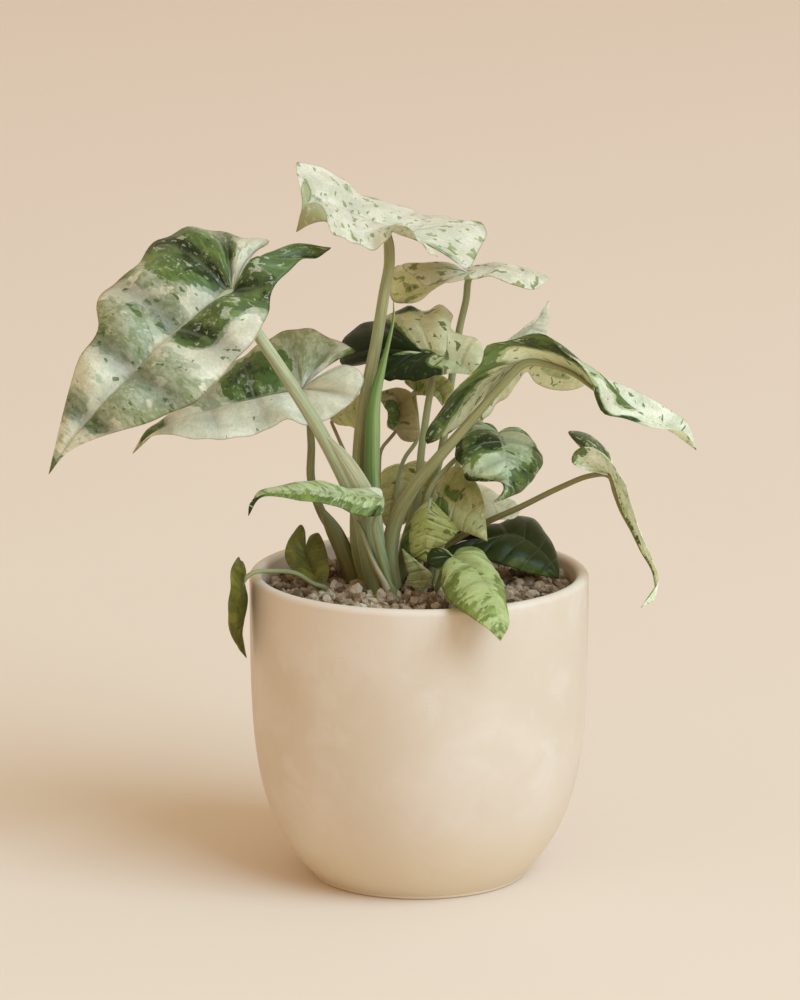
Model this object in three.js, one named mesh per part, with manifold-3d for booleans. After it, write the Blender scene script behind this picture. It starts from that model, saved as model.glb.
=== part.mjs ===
// A variegated giant taro in a round cream ceramic pot, dressed with pumice gravel.
// Millimetres, +Z up, origin at the middle of the pot's flat foot.
// X runs to the right and -Y towards the side that the plant is seen from.
import * as THREE from 'three';
import { mergeVertices } from 'three/addons/utils/BufferGeometryUtils.js';
import Module from 'manifold-3d';

const wasm = await Module();
wasm.setup();

// Pot
const POT_RADIUS = 80;
const POT_HEIGHT = 146.5;
const POT_WALL = 6;
const FOOT_RADIUS = 49.5;
const FLOOR_THICKNESS = 7;
const WALL_TAPER = 3;
const BELLY_POWER = 5.2;
const LIP_ROUNDING = 2.8;
const LIP_ANGLES = [30, 60, 90, 120, 150];
const POT_SIDES = 44;
const WALL_STEPS = 9;
const WALL_BUNCHING = 1.8;

// Soil and gravel
const CLEARANCE = 0.3;
const HOLE_CLEARANCE = 0.45;
const SOIL_TOP = 132;
const SOIL_STEPS = 6;
const GRAVEL_TOP = 136.5;
const MOUND_HEIGHT = 1.2;
const GRAIN_SPACING = 12.4;
const GRAIN_SIZE = [3.9, 5.3];
const GRAIN_SHAPE = [1, 0.9, 0.85];
const GRAIN_JITTER = 0.5;
const GRAIN_RISE = 0.1;
const GRAIN_TURN = 3;
const GRAVEL_SEED = 41;

// Leaves
const BLADE_THICKNESS = 0.8;
const WIDE_BLADE_ROWS = 11;
const BLADE_COLUMNS = { wide: 3, narrow: 2 };
const LENGTH_SAMPLES = 400;
const STALK_SIDES = 7;
const STALK_STEP = 16;
const STALK_LEAST_STEPS = 6;
const STALK_DEPTH = 12;
const SHEATH_POWER = 1.5;
const HEAD_SHARE = 0.15;
const HEAD_DROP = 0.5;
const RIDGE_SHARE = 0.4;
const RIDGE_DROP = 0.2;
const RIDGE_END = 0.3;
const WELD_DISTANCE = 1e-4;
const SLIVER = 0.02;
const ROOT_LEVEL = 139;

// Each leaf gives the course of its stalk from the gravel to the blade, of its rib from the
// stalk to the tip, and of its left and right margins from the stalk round the back lobe to
// the tip, seen from above with the tip ahead. stalk holds the radii at the foot and the
// blade, cup the swell of each half between rib and margin as a share of its width, fan the
// share of the margin whose veins start at the stalk, and wave the height and number of waves.
const LEAVES = {
  big_left: {
    stalk: [4.4, 2.1], cup: [0.10, 0.12], fan: 0.42, rows: 14, wave: [1.2, 3],
    petiole: [[-21, -10, 139], [-23, -13, 162], [-31, -17, 186], [-46, -22, 218], [-63, -26, 247],
      [-75, -28, 266], [-86, -27, 285]],
    rib: [[-86, -27, 285], [-99, -34, 278], [-117, -43, 265], [-137, -53, 246], [-155, -59, 227],
      [-170, -60, 206]],
    left: [[-78, -22, 296], [-67, -12, 301], [-53, -4, 303], [-41, -4, 302], [-48, -16, 300],
      [-55, -26, 299], [-64, -36, 291], [-68, -42, 285], [-69, -48, 278], [-77, -56, 267],
      [-89, -62, 255], [-100, -68, 243], [-114, -70, 236], [-127, -70, 231], [-146, -66, 225],
      [-161, -62, 217]],
    right: [[-80, -14, 295], [-75, -2, 300], [-70, 6, 303], [-81, 12, 304], [-93, 16, 306],
      [-105, 14, 308], [-116, 8, 305], [-126, 0, 300], [-132, -8, 293], [-141, -14, 288],
      [-149, -22, 280], [-148, -34, 268], [-156, -44, 257], [-162, -52, 239]],
  },
  left_low: {
    stalk: [3.0, 1.1], cup: [0.10, 0.08], fan: 0.42, rows: 13, wave: [0.8, 3],
    petiole: [[-30, 8, 135], [-35, 10, 154], [-46, 14, 171], [-51, 14, 187], [-51, 12, 207],
      [-55, 8, 232]],
    rib: [[-55, 8, 232], [-74, 4, 229], [-96, -4, 225], [-119, -10, 218], [-134, -10, 205]],
    left: [[-44, 4, 241], [-35, 2, 245], [-28, -2, 243], [-26, -4, 239], [-30, -6, 231],
      [-39, -8, 223], [-51, -10, 218], [-62, -14, 222], [-73, -20, 218], [-88, -24, 215],
      [-104, -26, 215], [-118, -22, 217], [-126, -16, 214]],
    right: [[-50, 16, 239], [-42, 26, 243], [-30, 32, 246], [-39, 36, 250], [-54, 38, 255],
      [-68, 36, 252], [-82, 30, 245], [-96, 22, 236], [-110, 12, 226], [-121, 0, 219],
      [-128, -6, 215]],
  },
  top_white: {
    stalk: [3.6, 2.6], cup: [0.06, 0.06], fan: 0.45, rows: 14, wave: [0.6, 3],
    petiole: [[-25, 3, 136], [-29, 3, 158], [-29, 4, 184], [-27, 5, 218], [-21, 6, 256],
      [-16, 6, 289], [-10, 6, 305]],
    rib: [[-9, 6, 306], [-28, 4, 315], [-44, 0, 322], [-53, -8, 322], [-57, -10, 310]],
    left: [[-2, 2, 305], [4, -4, 302], [9, -10, 299], [5, -18, 302], [-1, -24, 309],
      [-8, -26, 316], [-14, -25, 311], [-20, -24, 305], [-31, -26, 308], [-40, -26, 312],
      [-43, -22, 317], [-50, -16, 315]],
    right: [[1, 8, 304], [10, 4, 299], [19, -2, 293], [23, 0, 291], [27, 12, 296], [32, 26, 304],
      [28, 36, 306], [14, 42, 307], [-2, 42, 311], [-14, 40, 316], [-26, 34, 320], [-35, 26, 328],
      [-46, 16, 336], [-57, 6, 340], [-56, -3, 333], [-54, -8, 322]],
  },
  top_right: {
    stalk: [2.2, 1.6], cup: [0.06, 0.08], fan: 0.5, rows: 13, wave: [0.6, 2],
    petiole: [[-7, 14, 135], [-1, 22, 161], [7, 28, 184], [11, 31, 200], [14, 34, 222],
      [16, 36, 236], [19, 38, 255], [22, 36, 269], [24, 30, 283]],
    rib: [[24, 30, 283], [36, 30, 286], [47, 28, 285], [57, 26, 283], [62, 26, 282]],
    left: [[12, 40, 285], [0, 46, 282], [-10, 48, 284], [-14, 54, 274], [-12, 54, 266],
      [-5, 54, 264], [3, 54, 268], [12, 52, 275], [24, 48, 283], [34, 44, 286], [45, 38, 286],
      [56, 30, 284]],
    right: [[14, 32, 288], [3, 32, 288], [-8, 32, 287], [-4, 26, 284], [3, 20, 280], [12, 18, 281],
      [24, 18, 282], [33, 16, 284], [47, 14, 280], [54, 18, 278]],
  },
  centre_dark: {
    stalk: [2.4, 1.5], cup: [0.10, 0.10], fan: 0.5, rows: 13, wave: [0.8, 3],
    petiole: [[-9, 6, 137], [-7, 10, 157], [-1, 13, 178], [1, 15, 201], [4, 18, 222], [6, 20, 236],
      [2, 22, 247]],
    rib: [[2, 22, 247], [10, 16, 247], [19, 10, 243], [26, 6, 239]],
    left: [[-8, 29, 244], [-22, 37, 239], [-37, 43, 237], [-38, 47, 242], [-33, 51, 251],
      [-23, 54, 255], [-13, 54, 259], [-6, 54, 264], [1, 50, 262], [10, 46, 265], [16, 40, 261],
      [15, 34, 256], [20, 28, 254], [27, 20, 254], [30, 12, 248]],
    right: [[-7, 20, 248], [-15, 21, 245], [-22, 21, 240], [-19, 17, 236], [-15, 13, 235],
      [-8, 9, 237], [0, 4, 237], [10, 2, 240], [18, 3, 241]],
  },
  right_big: {
    stalk: [3.8, 1.7], cup: [0.10, 0.10], fan: 0.4, rows: 16, wave: [0.0, 1],
    petiole: [[-13, -6, 139], [-14, -8, 158], [-11, -10, 173], [-3, -14, 189], [10, -18, 206],
      [24, -21, 223], [37, -24, 239], [49, -25, 252]],
    rib: [[49, -25, 252], [58, -27, 252], [70, -28, 248], [80, -26, 240], [95, -24, 232],
      [112, -22, 222], [129, -20, 209]],
    left: [[39, -20, 238], [31, -18, 229], [25, -16, 221], [32, -12, 224], [36, -9, 229],
      [41, -8, 231], [46, -10, 239], [50, -12, 245], [54, -8, 239], [60, -6, 235], [67, -6, 234],
      [76, -8, 237], [82, -10, 242], [90, -12, 240], [103, -14, 235], [117, -16, 227],
      [125, -18, 221]],
    right: [[39, -18, 243], [28, -12, 230], [17, -10, 217], [4, -10, 209], [4, -16, 218],
      [10, -22, 229], [17, -26, 239], [24, -28, 246], [29, -30, 253], [31, -32, 261],
      [43, -34, 264], [53, -36, 267], [59, -38, 266], [66, -40, 260], [74, -42, 255],
      [79, -44, 247], [81, -42, 238], [85, -38, 230], [95, -34, 227], [107, -30, 222],
      [123, -24, 218]],
  },
  right_back: {
    stalk: [1.7, 1.2], cup: [0.05, 0.05], fan: 0.15, rows: 7, wave: [0.0, 1],
    petiole: [[-5, 22, 133], [3, 30, 154], [15, 38, 182], [27, 42, 205], [34, 46, 222],
      [38, 48, 232]],
    rib: [[38, 48, 232], [46, 52, 242], [54, 58, 253], [62, 64, 264]],
    left: [[35, 44, 238], [40, 46, 246], [48, 50, 252], [56, 54, 258]],
    right: [[46, 48, 230], [55, 50, 238], [60, 54, 248], [62, 58, 257]],
  },
  mid_right: {
    stalk: [1.8, 1.0], cup: [0.16, 0.16], fan: 0.35, rows: 11, wave: [0.8, 2],
    petiole: [[-1, 2, 138], [0, 0, 161], [5, -3, 186], [13, 0, 196], [22, 5, 203], [30, 7, 207],
      [37, 4, 211]],
    rib: [[37, 3, 212], [39, -10, 209], [41, -20, 201], [40, -24, 192], [35, -24, 185]],
    left: [[44, 10, 213], [52, 12, 209], [57, 2, 203], [58, -4, 200], [53, -10, 193],
      [48, -14, 188], [41, -20, 186]],
    right: [[31, 10, 215], [24, 8, 215], [18, 2, 210], [17, -5, 207], [17, -10, 203],
      [20, -15, 200], [22, -17, 194], [29, -20, 194], [38, -22, 194], [40, -24, 190]],
  },
  right_droop: {
    stalk: [1.8, 1.1], cup: [0.08, 0.08], fan: 0.4, rows: 14, wave: [0.0, 1],
    petiole: [[4, 5, 137], [12, 7, 155], [29, 6, 167], [47, 0, 177], [66, -6, 188], [80, -12, 195],
      [89, -14, 196]],
    rib: [[89, -14, 196], [92, -14, 187], [96, -15, 176], [101, -16, 167], [104, -17, 160],
      [109, -18, 151], [111, -18, 142], [110, -18, 137], [104, -18, 133]],
    left: [[85, -4, 200], [75, 2, 206], [70, 6, 212], [74, 10, 212], [79, 12, 210], [84, 12, 206],
      [88, 10, 202], [91, 6, 196], [94, 2, 190], [97, -2, 182], [101, -5, 173], [105, -8, 164],
      [108, -12, 156], [112, -15, 147]],
    right: [[84, -19, 198], [79, -24, 200], [71, -28, 205], [72, -31, 210], [76, -33, 213],
      [81, -33, 213], [85, -31, 210], [89, -29, 205], [92, -28, 200], [96, -28, 195],
      [98, -28, 187], [101, -28, 177], [105, -26, 167], [109, -24, 157], [112, -21, 147]],
  },
  narrow_left: {
    stalk: [1.5, 1.2], cup: [0.10, 0.10], fan: 0.2, rows: 9, wave: [0.0, 1],
    petiole: [[-12, -18, 139], [-15, -19, 147], [-19, -22, 162], [-21, -25, 174], [-18, -25, 186]],
    rib: [[-17, -25, 187], [-39, -32, 191], [-55, -36, 193], [-71, -38, 192], [-78, -40, 188],
      [-79, -40, 182]],
    left: [[-17, -29, 181], [-21, -32, 180], [-30, -37, 182], [-39, -41, 187], [-55, -43, 190],
      [-73, -41, 191]],
    right: [[-18, -23, 191], [-25, -24, 192], [-34, -26, 192], [-46, -28, 196], [-55, -30, 196],
      [-67, -32, 194], [-75, -35, 192]],
  },
  green_front: {
    stalk: [1.6, 1.0], cup: [0.12, 0.12], fan: 0.35, rows: 11, wave: [0.6, 2],
    petiole: [[8, -14, 139], [10, -16, 146], [12, -20, 153], [16, -27, 158]],
    rib: [[16, -30, 160], [23, -46, 160], [30, -70, 157], [35, -90, 150], [37, -98, 137]],
    left: [[20, -24, 163], [27, -24, 163], [32, -36, 161], [38, -58, 156], [40, -78, 150],
      [41, -92, 143]],
    right: [[13, -28, 163], [8, -27, 164], [5, -26, 162], [4, -29, 157], [10, -36, 155],
      [10, -54, 153], [14, -76, 150], [19, -88, 149], [24, -94, 147], [32, -98, 142]],
  },
  dark_right: {
    stalk: [1.6, 1.1], cup: [0.12, 0.12], fan: 0.35, rows: 10, wave: [0.6, 2],
    petiole: [[10, 2, 139], [15, 8, 147], [23, 12, 153], [31, 13, 157]],
    rib: [[32, 13, 158], [44, 12, 161], [56, 8, 155], [63, 4, 148], [66, 2, 142]],
    left: [[24, 22, 156], [16, 28, 154], [12, 34, 154], [24, 34, 158], [39, 32, 162],
      [46, 32, 165], [53, 30, 165], [61, 24, 158], [66, 14, 149]],
    right: [[24, 8, 156], [16, 6, 156], [12, 4, 155], [26, 2, 152], [40, -1, 149], [50, -1, 146],
      [58, 0, 144]],
  },
  outer_left: {
    stalk: [1.1, 0.8], cup: [0.12, 0.12], fan: 0.3, rows: 9, wave: [0.0, 1],
    petiole: [[-43, -8, 138], [-50, -12, 143], [-58, -16, 149], [-69, -20, 151], [-78, -24, 151],
      [-82, -24, 146]],
    rib: [[-82, -24, 146], [-84, -26, 136], [-85, -26, 126], [-85, -24, 116], [-81, -20, 109]],
    left: [[-81, -16, 150], [-83, -16, 155], [-85, -17, 154], [-81, -14, 140], [-81, -14, 135],
      [-83, -18, 123]],
    right: [[-84, -29, 153], [-84, -29, 160], [-87, -31, 156], [-88, -34, 145], [-89, -34, 135],
      [-88, -30, 123]],
  },
  small_left: {
    stalk: [1.2, 0.8], cup: [0.12, 0.12], fan: 0.45, rows: 9, wave: [0.0, 1],
    petiole: [[-40, 4, 134], [-42, 8, 138], [-46, 12, 140], [-52, 14, 144], [-54, 13, 150]],
    rib: [[-54, 12, 151], [-52, 6, 147], [-49, -4, 144], [-45, -12, 141]],
    left: [[-52, 14, 156], [-52, 16, 159], [-48, 16, 161], [-45, 12, 157], [-43, 4, 151],
      [-43, -6, 145]],
    right: [[-55, 16, 155], [-54, 18, 161], [-56, 20, 164], [-60, 18, 160], [-63, 12, 155],
      [-63, 6, 150], [-58, -1, 146], [-51, -8, 143]],
  },
  back_pink: {
    stalk: [1.2, 0.8], cup: [0.10, 0.10], fan: 0.3, rows: 8, wave: [0.0, 1],
    petiole: [[-19, 16, 134], [-20, 22, 156], [-19, 28, 184], [-18, 31, 198], [-14, 33, 203],
      [-11, 33, 207]],
    rib: [[-11, 32, 207], [-9, 36, 214], [-11, 38, 222], [-19, 36, 225]],
    left: [[-15, 32, 209], [-15, 31, 216], [-18, 33, 221]],
    right: [[-8, 30, 203], [-2, 28, 203], [0, 28, 209], [-2, 31, 218], [-4, 35, 225], [-10, 37, 227]],
  },
  back_left: {
    stalk: [1.2, 0.8], cup: [0.10, 0.10], fan: 0.2, rows: 7, wave: [0.0, 1],
    petiole: [[-27, 22, 133], [-27, 26, 155], [-30, 30, 179], [-35, 34, 195], [-39, 36, 204],
      [-41, 36, 211]],
    rib: [[-42, 36, 212], [-35, 34, 215], [-29, 32, 217], [-23, 30, 218]],
    left: [[-44, 38, 212], [-38, 40, 216], [-30, 38, 222], [-25, 34, 227]],
    right: [[-39, 33, 210], [-33, 28, 210], [-27, 26, 209], [-24, 27, 213]],
  },
  back_centre: {
    stalk: [1.3, 0.9], cup: [0.10, 0.10], fan: 0.25, rows: 7, wave: [0.0, 1],
    petiole: [[-14, 14, 135], [-12, 22, 161], [-10, 28, 184], [-7, 30, 194], [-1, 32, 203],
      [-1, 34, 213], [-2, 35, 225]],
    rib: [[-2, 34, 226], [4, 31, 228], [10, 28, 226], [11, 27, 220]],
    left: [[-7, 37, 230], [-1, 38, 233], [10, 33, 234], [16, 27, 229]],
    right: [[-4, 31, 225], [2, 28, 225], [7, 26, 225]],
  },
  back_round: {
    stalk: [1.4, 0.9], cup: [0.12, 0.12], fan: 0.35, rows: 9, wave: [0.0, 1],
    petiole: [[-14, 26, 133], [-13, 34, 153], [-10, 42, 171], [-7, 42, 185], [-7, 38, 189]],
    rib: [[-7, 37, 189], [-8, 30, 181], [-11, 28, 170], [-14, 28, 159]],
    left: [[-1, 39, 191], [5, 38, 190], [9, 34, 187], [7, 30, 176], [-2, 28, 166]],
    right: [[-12, 39, 189], [-17, 36, 187], [-20, 32, 181], [-19, 30, 171], [-18, 28, 165]],
  },
  spotted: {
    stalk: [1.4, 0.9], cup: [0.12, 0.12], fan: 0.25, rows: 8, wave: [0.0, 1],
    petiole: [[2, -10, 139], [1, -9, 149], [0, -8, 166], [3, -8, 179], [5, -9, 183]],
    rib: [[5, -9, 183], [4, -14, 177], [3, -16, 165], [3, -14, 154]],
    left: [[8, -11, 181], [13, -13, 176], [18, -10, 168], [13, -13, 163], [8, -14, 160]],
    right: [[0, -9, 179], [-5, -9, 171], [-8, -8, 162], [-6, -12, 156]],
  },
  cream_fold: {
    stalk: [1.4, 0.9], cup: [0.10, 0.10], fan: 0.25, rows: 8, wave: [0.0, 1],
    petiole: [[7, -3, 139], [9, -2, 150], [12, 0, 166], [11, 3, 178], [9, 3, 184]],
    rib: [[8, 2, 184], [17, -4, 179], [25, -8, 171], [32, -10, 163]],
    left: [[10, 8, 188], [17, 10, 195], [23, 8, 192], [29, 2, 184], [31, -4, 174]],
    right: [[6, 0, 179], [10, -4, 174], [17, -6, 168], [24, -8, 166]],
  },
  pale_back: {
    stalk: [1.4, 0.9], cup: [0.08, 0.08], fan: 0.3, rows: 8, wave: [0.0, 1],
    petiole: [[8, 11, 137], [13, 16, 155], [17, 20, 169], [18, 20, 176]],
    rib: [[19, 20, 177], [29, 18, 177], [38, 16, 174], [48, 14, 172]],
    left: [[22, 26, 183], [30, 26, 182], [38, 22, 178], [45, 18, 176]],
    right: [[24, 12, 171], [32, 10, 169], [39, 10, 169], [45, 12, 169]],
  },
  old_sheath: {
    stalk: [1.6, 1.2], cup: [0.12, 0.12], fan: 0.1, rows: 6, wave: [0.0, 1],
    petiole: [[0, -17, 134], [0, -17, 137]],
    rib: [[0, -18, 140], [1, -18, 147], [-2, -18, 155], [-8, -17, 161]],
    left: [[-5, -17, 145], [-5, -17, 149], [-7, -17, 156]],
    right: [[5, -17, 144], [6, -18, 149], [2, -18, 153], [-4, -18, 158]],
  },
};

// The youngest leaf is still rolled: the course of its middle, and its radii from foot to point
const NEW_LEAF = {
  course: [[-15, 3, 139], [-20, 0, 159], [-22, -2, 186], [-22, -2, 210], [-21, -2, 229],
    [-17, -2, 246], [-14, -2, 258], [-12, -2, 268], [-12, -2, 276]],
  radii: [2.2, 2.6, 2.7, 2.7, 2.6, 2.5, 2.4, 2.3, 2.1, 2.2, 1.9, 1.0, 0.4],
};

const COLOURS = {
  ceramic: 0xe2d0b6,
  soil: 0x4a3424,
  pumice: 0xb89a80,
  pale: 0xd9dcc4,
  green: 0x6f8f4a,
  dark: 0x2f4a20,
  olive: 0x8c8a4c,
  stem: 0xa9b878,
};

const columnsOf = (leaf) => (leaf.rows < WIDE_BLADE_ROWS ? BLADE_COLUMNS.narrow : BLADE_COLUMNS.wide);

const vector = (point) => new THREE.Vector3(...point);
const curveThrough = (points) =>
  new THREE.CatmullRomCurve3(points.map((p) => (p.isVector3 ? p : vector(p))), false, 'centripetal');

// Repeatable random numbers between 0 and 1
function seededRandom(seed) {
  let state = seed;
  return () => {
    state = (state * 1664525 + 1013904223) % 4294967296;
    return state / 4294967296;
  };
}

// Welds a geometry's corners and drops the triangles that a pole squeezed flat
function welded(geometry) {
  const bare = geometry.clone();
  bare.deleteAttribute('normal');
  bare.deleteAttribute('uv');
  const merged = mergeVertices(bare, WELD_DISTANCE);
  const index = merged.index.array;
  const kept = [];
  for (let i = 0; i < index.length; i += 3) {
    const [a, b, c] = [index[i], index[i + 1], index[i + 2]];
    if (a !== b && b !== c && c !== a) {
      kept.push(a, b, c);
    }
  }
  merged.setIndex(kept);
  return merged;
}

function solidOf(geometry) {
  const merged = welded(geometry);
  return new wasm.Manifold(new wasm.Mesh({
    numProp: 3,
    vertProperties: new Float32Array(merged.attributes.position.array),
    triVerts: new Uint32Array(merged.index.array),
  }));
}

// A joined or cut solid back as a geometry, rid of the slivers that the cut leaves
function geometryOf(solid) {
  const mesh = solid.simplify(SLIVER).getMesh();
  const geometry = new THREE.BufferGeometry();
  geometry.setAttribute('position', new THREE.BufferAttribute(mesh.vertProperties, 3));
  geometry.setIndex(new THREE.BufferAttribute(mesh.triVerts, 1));
  geometry.computeVertexNormals();
  return geometry;
}

function largestPiece(solid) {
  return solid.decompose().reduce((best, piece) => (piece.volume() > best.volume() ? piece : best));
}

// Gives a sheet of welded triangles a thickness, with a wall round its open edge
function thickened(points, triangles, thickness) {
  const normals = points.map(() => new THREE.Vector3());
  const edges = new Map();
  for (const [a, b, c] of triangles) {
    const normal = points[b].clone().sub(points[a]).cross(points[c].clone().sub(points[a]));
    for (const corner of [a, b, c]) {
      normals[corner].add(normal);
    }
    for (const [from, to] of [[a, b], [b, c], [c, a]]) {
      edges.set(`${from}_${to}`, [from, to]);
    }
  }
  const count = points.length;
  const corners = [];
  for (const side of [0.5, -0.5]) {
    points.forEach((point, i) => {
      corners.push(point.clone().addScaledVector(normals[i].clone().normalize(), side * thickness));
    });
  }
  const faces = [];
  for (const [a, b, c] of triangles) {
    faces.push(a, b, c, count + a, count + c, count + b);
  }
  for (const [from, to] of edges.values()) {
    if (!edges.has(`${to}_${from}`)) {
      faces.push(from, count + from, to, to, count + from, count + to);
    }
  }
  const geometry = new THREE.BufferGeometry().setFromPoints(corners);
  geometry.setIndex(faces);
  return geometry;
}

// The share of a margin's length at which it turns most sharply, the end of the back lobe
function lobeShare(margin) {
  const points = margin.points;
  let sharpest = 1;
  let tightest = 1;
  for (let k = 1; k < points.length - 1; k += 1) {
    const before = points[k].clone().sub(points[k - 1]).normalize();
    const after = points[k + 1].clone().sub(points[k]).normalize();
    if (before.dot(after) < tightest) {
      tightest = before.dot(after);
      sharpest = k;
    }
  }
  const lengths = margin.getLengths(LENGTH_SAMPLES);
  const nearest = Math.round(LENGTH_SAMPLES * sharpest / (points.length - 1));
  return lengths[nearest] / lengths[LENGTH_SAMPLES];
}

// Rows of one half run from the rib to the margin like side veins; the first ones fan out of
// the stalk. One row ends at the point of the back lobe, and all are spread evenly either side.
function veinEnds(leaf, side) {
  const rib = curveThrough(leaf.rib);
  const tip = leaf.rib[leaf.rib.length - 1];
  const margin = curveThrough([leaf.rib[0], ...leaf[side], tip]);
  const lobe = lobeShare(margin);
  const lobeRow = Math.max(1, Math.round(lobe * leaf.rows));
  const fanRows = Math.round(leaf.fan * leaf.rows);
  return Array.from({ length: leaf.rows + 1 }, (_, i) => {
    const share = i < lobeRow
      ? lobe * i / lobeRow
      : lobe + (1 - lobe) * (i - lobeRow) / (leaf.rows - lobeRow);
    return {
      start: rib.getPointAt(Math.max(0, (i - fanRows) / (leaf.rows - fanRows))),
      end: margin.getPointAt(Math.min(1, share)),
    };
  });
}

// The upper face's direction along a half, from its neighbouring rows
function facings(veins, turn) {
  return veins.map((vein, i) => {
    const sum = new THREE.Vector3();
    for (let k = Math.max(1, i - 2); k <= Math.min(veins.length - 2, i + 2); k += 1) {
      const step = veins[k + 1].end.clone().sub(veins[k - 1].end);
      sum.add(step.cross(veins[k].end.clone().sub(veins[k].start)));
    }
    return sum.normalize().multiplyScalar(turn);
  });
}

// A row swells towards the upper face, and its outer end rides on the margin's waves
function halfBlade(leaf, side, turn) {
  const veins = veinEnds(leaf, side);
  const facing = facings(veins, turn);
  const swell = leaf.cup[turn > 0 ? 0 : 1];
  const [waveHeight, waveCount] = leaf.wave;
  const columns = columnsOf(leaf);
  return veins.map(({ start, end }, i) => {
    const span = end.clone().sub(start);
    const width = span.length();
    const calm = Math.sin(Math.PI * i / leaf.rows);
    const wave = waveHeight * calm * Math.sin(2 * Math.PI * waveCount * i / leaf.rows);
    const row = [];
    for (let j = 0; j <= columns; j += 1) {
      const t = j / columns;
      const lift = 4 * swell * width * t * (1 - t) + wave * t * t;
      row.push(start.clone().addScaledVector(span, t).addScaledVector(facing[i], lift));
    }
    return row;
  });
}

function blade(leaf) {
  const points = [];
  const known = new Map();
  const numberOf = (point) => {
    const key = point.toArray().map((v) => Math.round(v * 1000)).join();
    if (!known.has(key)) {
      known.set(key, points.length);
      points.push(point);
    }
    return known.get(key);
  };
  const triangles = [];
  for (const [side, turn] of [['left', 1], ['right', -1]]) {
    const rows = halfBlade(leaf, side, turn).map((row) => row.map(numberOf));
    for (let i = 0; i < leaf.rows; i += 1) {
      for (let j = 0; j < columnsOf(leaf); j += 1) {
        const [a, b] = [rows[i][j], rows[i + 1][j]];
        const [c, d] = [rows[i + 1][j + 1], rows[i][j + 1]];
        for (const [p, q, r] of [[a, b, c], [a, c, d]]) {
          if (p !== q && q !== r && r !== p) {
            triangles.push(turn > 0 ? [p, q, r] : [p, r, q]);
          }
        }
      }
    }
  }
  return thickened(points, triangles, BLADE_THICKNESS);
}

// A round tube along a course, with a radius for each ring and closed ends
function taperedTube(course, radii, sides) {
  const steps = radii.length - 1;
  const frames = course.computeFrenetFrames(steps, false);
  const corners = [];
  for (let i = 0; i <= steps; i += 1) {
    const centre = course.getPointAt(i / steps);
    for (let k = 0; k < sides; k += 1) {
      const angle = 2 * Math.PI * k / sides;
      corners.push(centre.clone()
        .addScaledVector(frames.normals[i], radii[i] * Math.cos(angle))
        .addScaledVector(frames.binormals[i], radii[i] * Math.sin(angle)));
    }
  }
  const faces = [];
  for (let i = 0; i < steps; i += 1) {
    for (let k = 0; k < sides; k += 1) {
      const [a, b] = [i * sides + k, i * sides + (k + 1) % sides];
      faces.push(a, b, a + sides, b, b + sides, a + sides);
    }
  }
  const last = steps * sides;
  for (let k = 1; k < sides - 1; k += 1) {
    faces.push(0, k + 1, k, last, last + k, last + k + 1);
  }
  const geometry = new THREE.BufferGeometry().setFromPoints(corners);
  geometry.setIndex(faces);
  return geometry;
}

// The stalk's foot goes straight down into the soil, and its head runs on as a ridge under the rib
function stalkCourse(leaf) {
  const [x, y, z] = leaf.petiole[0];
  const foot = [[x, y, SOIL_TOP - STALK_DEPTH], [x, y, SOIL_TOP], [x, y, Math.max(z, ROOT_LEVEL)]];
  const upward = new THREE.Vector3();
  for (const [side, turn] of [['left', 1], ['right', -1]]) {
    upward.add(facings(veinEnds(leaf, side), turn)[Math.round(leaf.fan * leaf.rows)]);
  }
  upward.normalize();
  const rib = curveThrough(leaf.rib);
  const radius = leaf.stalk[1];
  const under = (share, drop) => rib.getPointAt(share).addScaledVector(upward, -drop * radius);
  const head = [under(0, HEAD_DROP), under(HEAD_SHARE, HEAD_DROP), under(RIDGE_SHARE, RIDGE_DROP)];
  return curveThrough([...foot, ...leaf.petiole.slice(1, -1), ...head]);
}

function stalkRadii(leaf, course, steps, extra) {
  const [foot, top] = leaf.stalk;
  const ridge = curveThrough(leaf.rib).getLength() * RIDGE_SHARE / course.getLength();
  return Array.from({ length: steps + 1 }, (_, i) => {
    const left = 1 - i / steps;
    const shrink = Math.min(1, RIDGE_END + (1 - RIDGE_END) * left / ridge);
    return extra + (top + (foot - top) * left ** SHEATH_POWER) * shrink;
  });
}

function stalk(leaf, extra = 0) {
  const course = stalkCourse(leaf);
  const steps = Math.max(STALK_LEAST_STEPS, Math.round(course.getLength() / STALK_STEP));
  return taperedTube(course, stalkRadii(leaf, course, steps, extra), STALK_SIDES);
}

function leafSolid(leaf) {
  return solidOf(blade(leaf)).add(solidOf(stalk(leaf)));
}

// Turns a profile of radius and height about the upright axis
const turned = (profile) => solidOf(new THREE.LatheGeometry(profile, POT_SIDES).rotateX(Math.PI / 2));

// The youngest leaf still stands rolled up as a slim spike, flattened and pointed
function newLeaf(extra = 0) {
  const [x, y, z] = NEW_LEAF.course[0];
  const course = curveThrough([[x, y, SOIL_TOP - STALK_DEPTH], [x, y, z], ...NEW_LEAF.course.slice(1)]);
  return taperedTube(course, NEW_LEAF.radii.map((radius) => radius + extra), STALK_SIDES);
}

// The pot's outer radius falls gently from the rim and turns in fast towards the foot
function potRadius(z) {
  const depth = 1 - z / POT_HEIGHT;
  const turnIn = POT_RADIUS - FOOT_RADIUS - WALL_TAPER;
  return POT_RADIUS - WALL_TAPER * depth ** 2 - turnIn * depth ** BELLY_POWER;
}

// Levels up a wall, closer together at the foot where it bends fastest
function wallHeights(low, high, steps = WALL_STEPS) {
  return Array.from({ length: steps + 1 }, (_, i) => {
    const u = i / steps;
    return low + (high - low) * u ** WALL_BUNCHING;
  });
}

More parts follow.
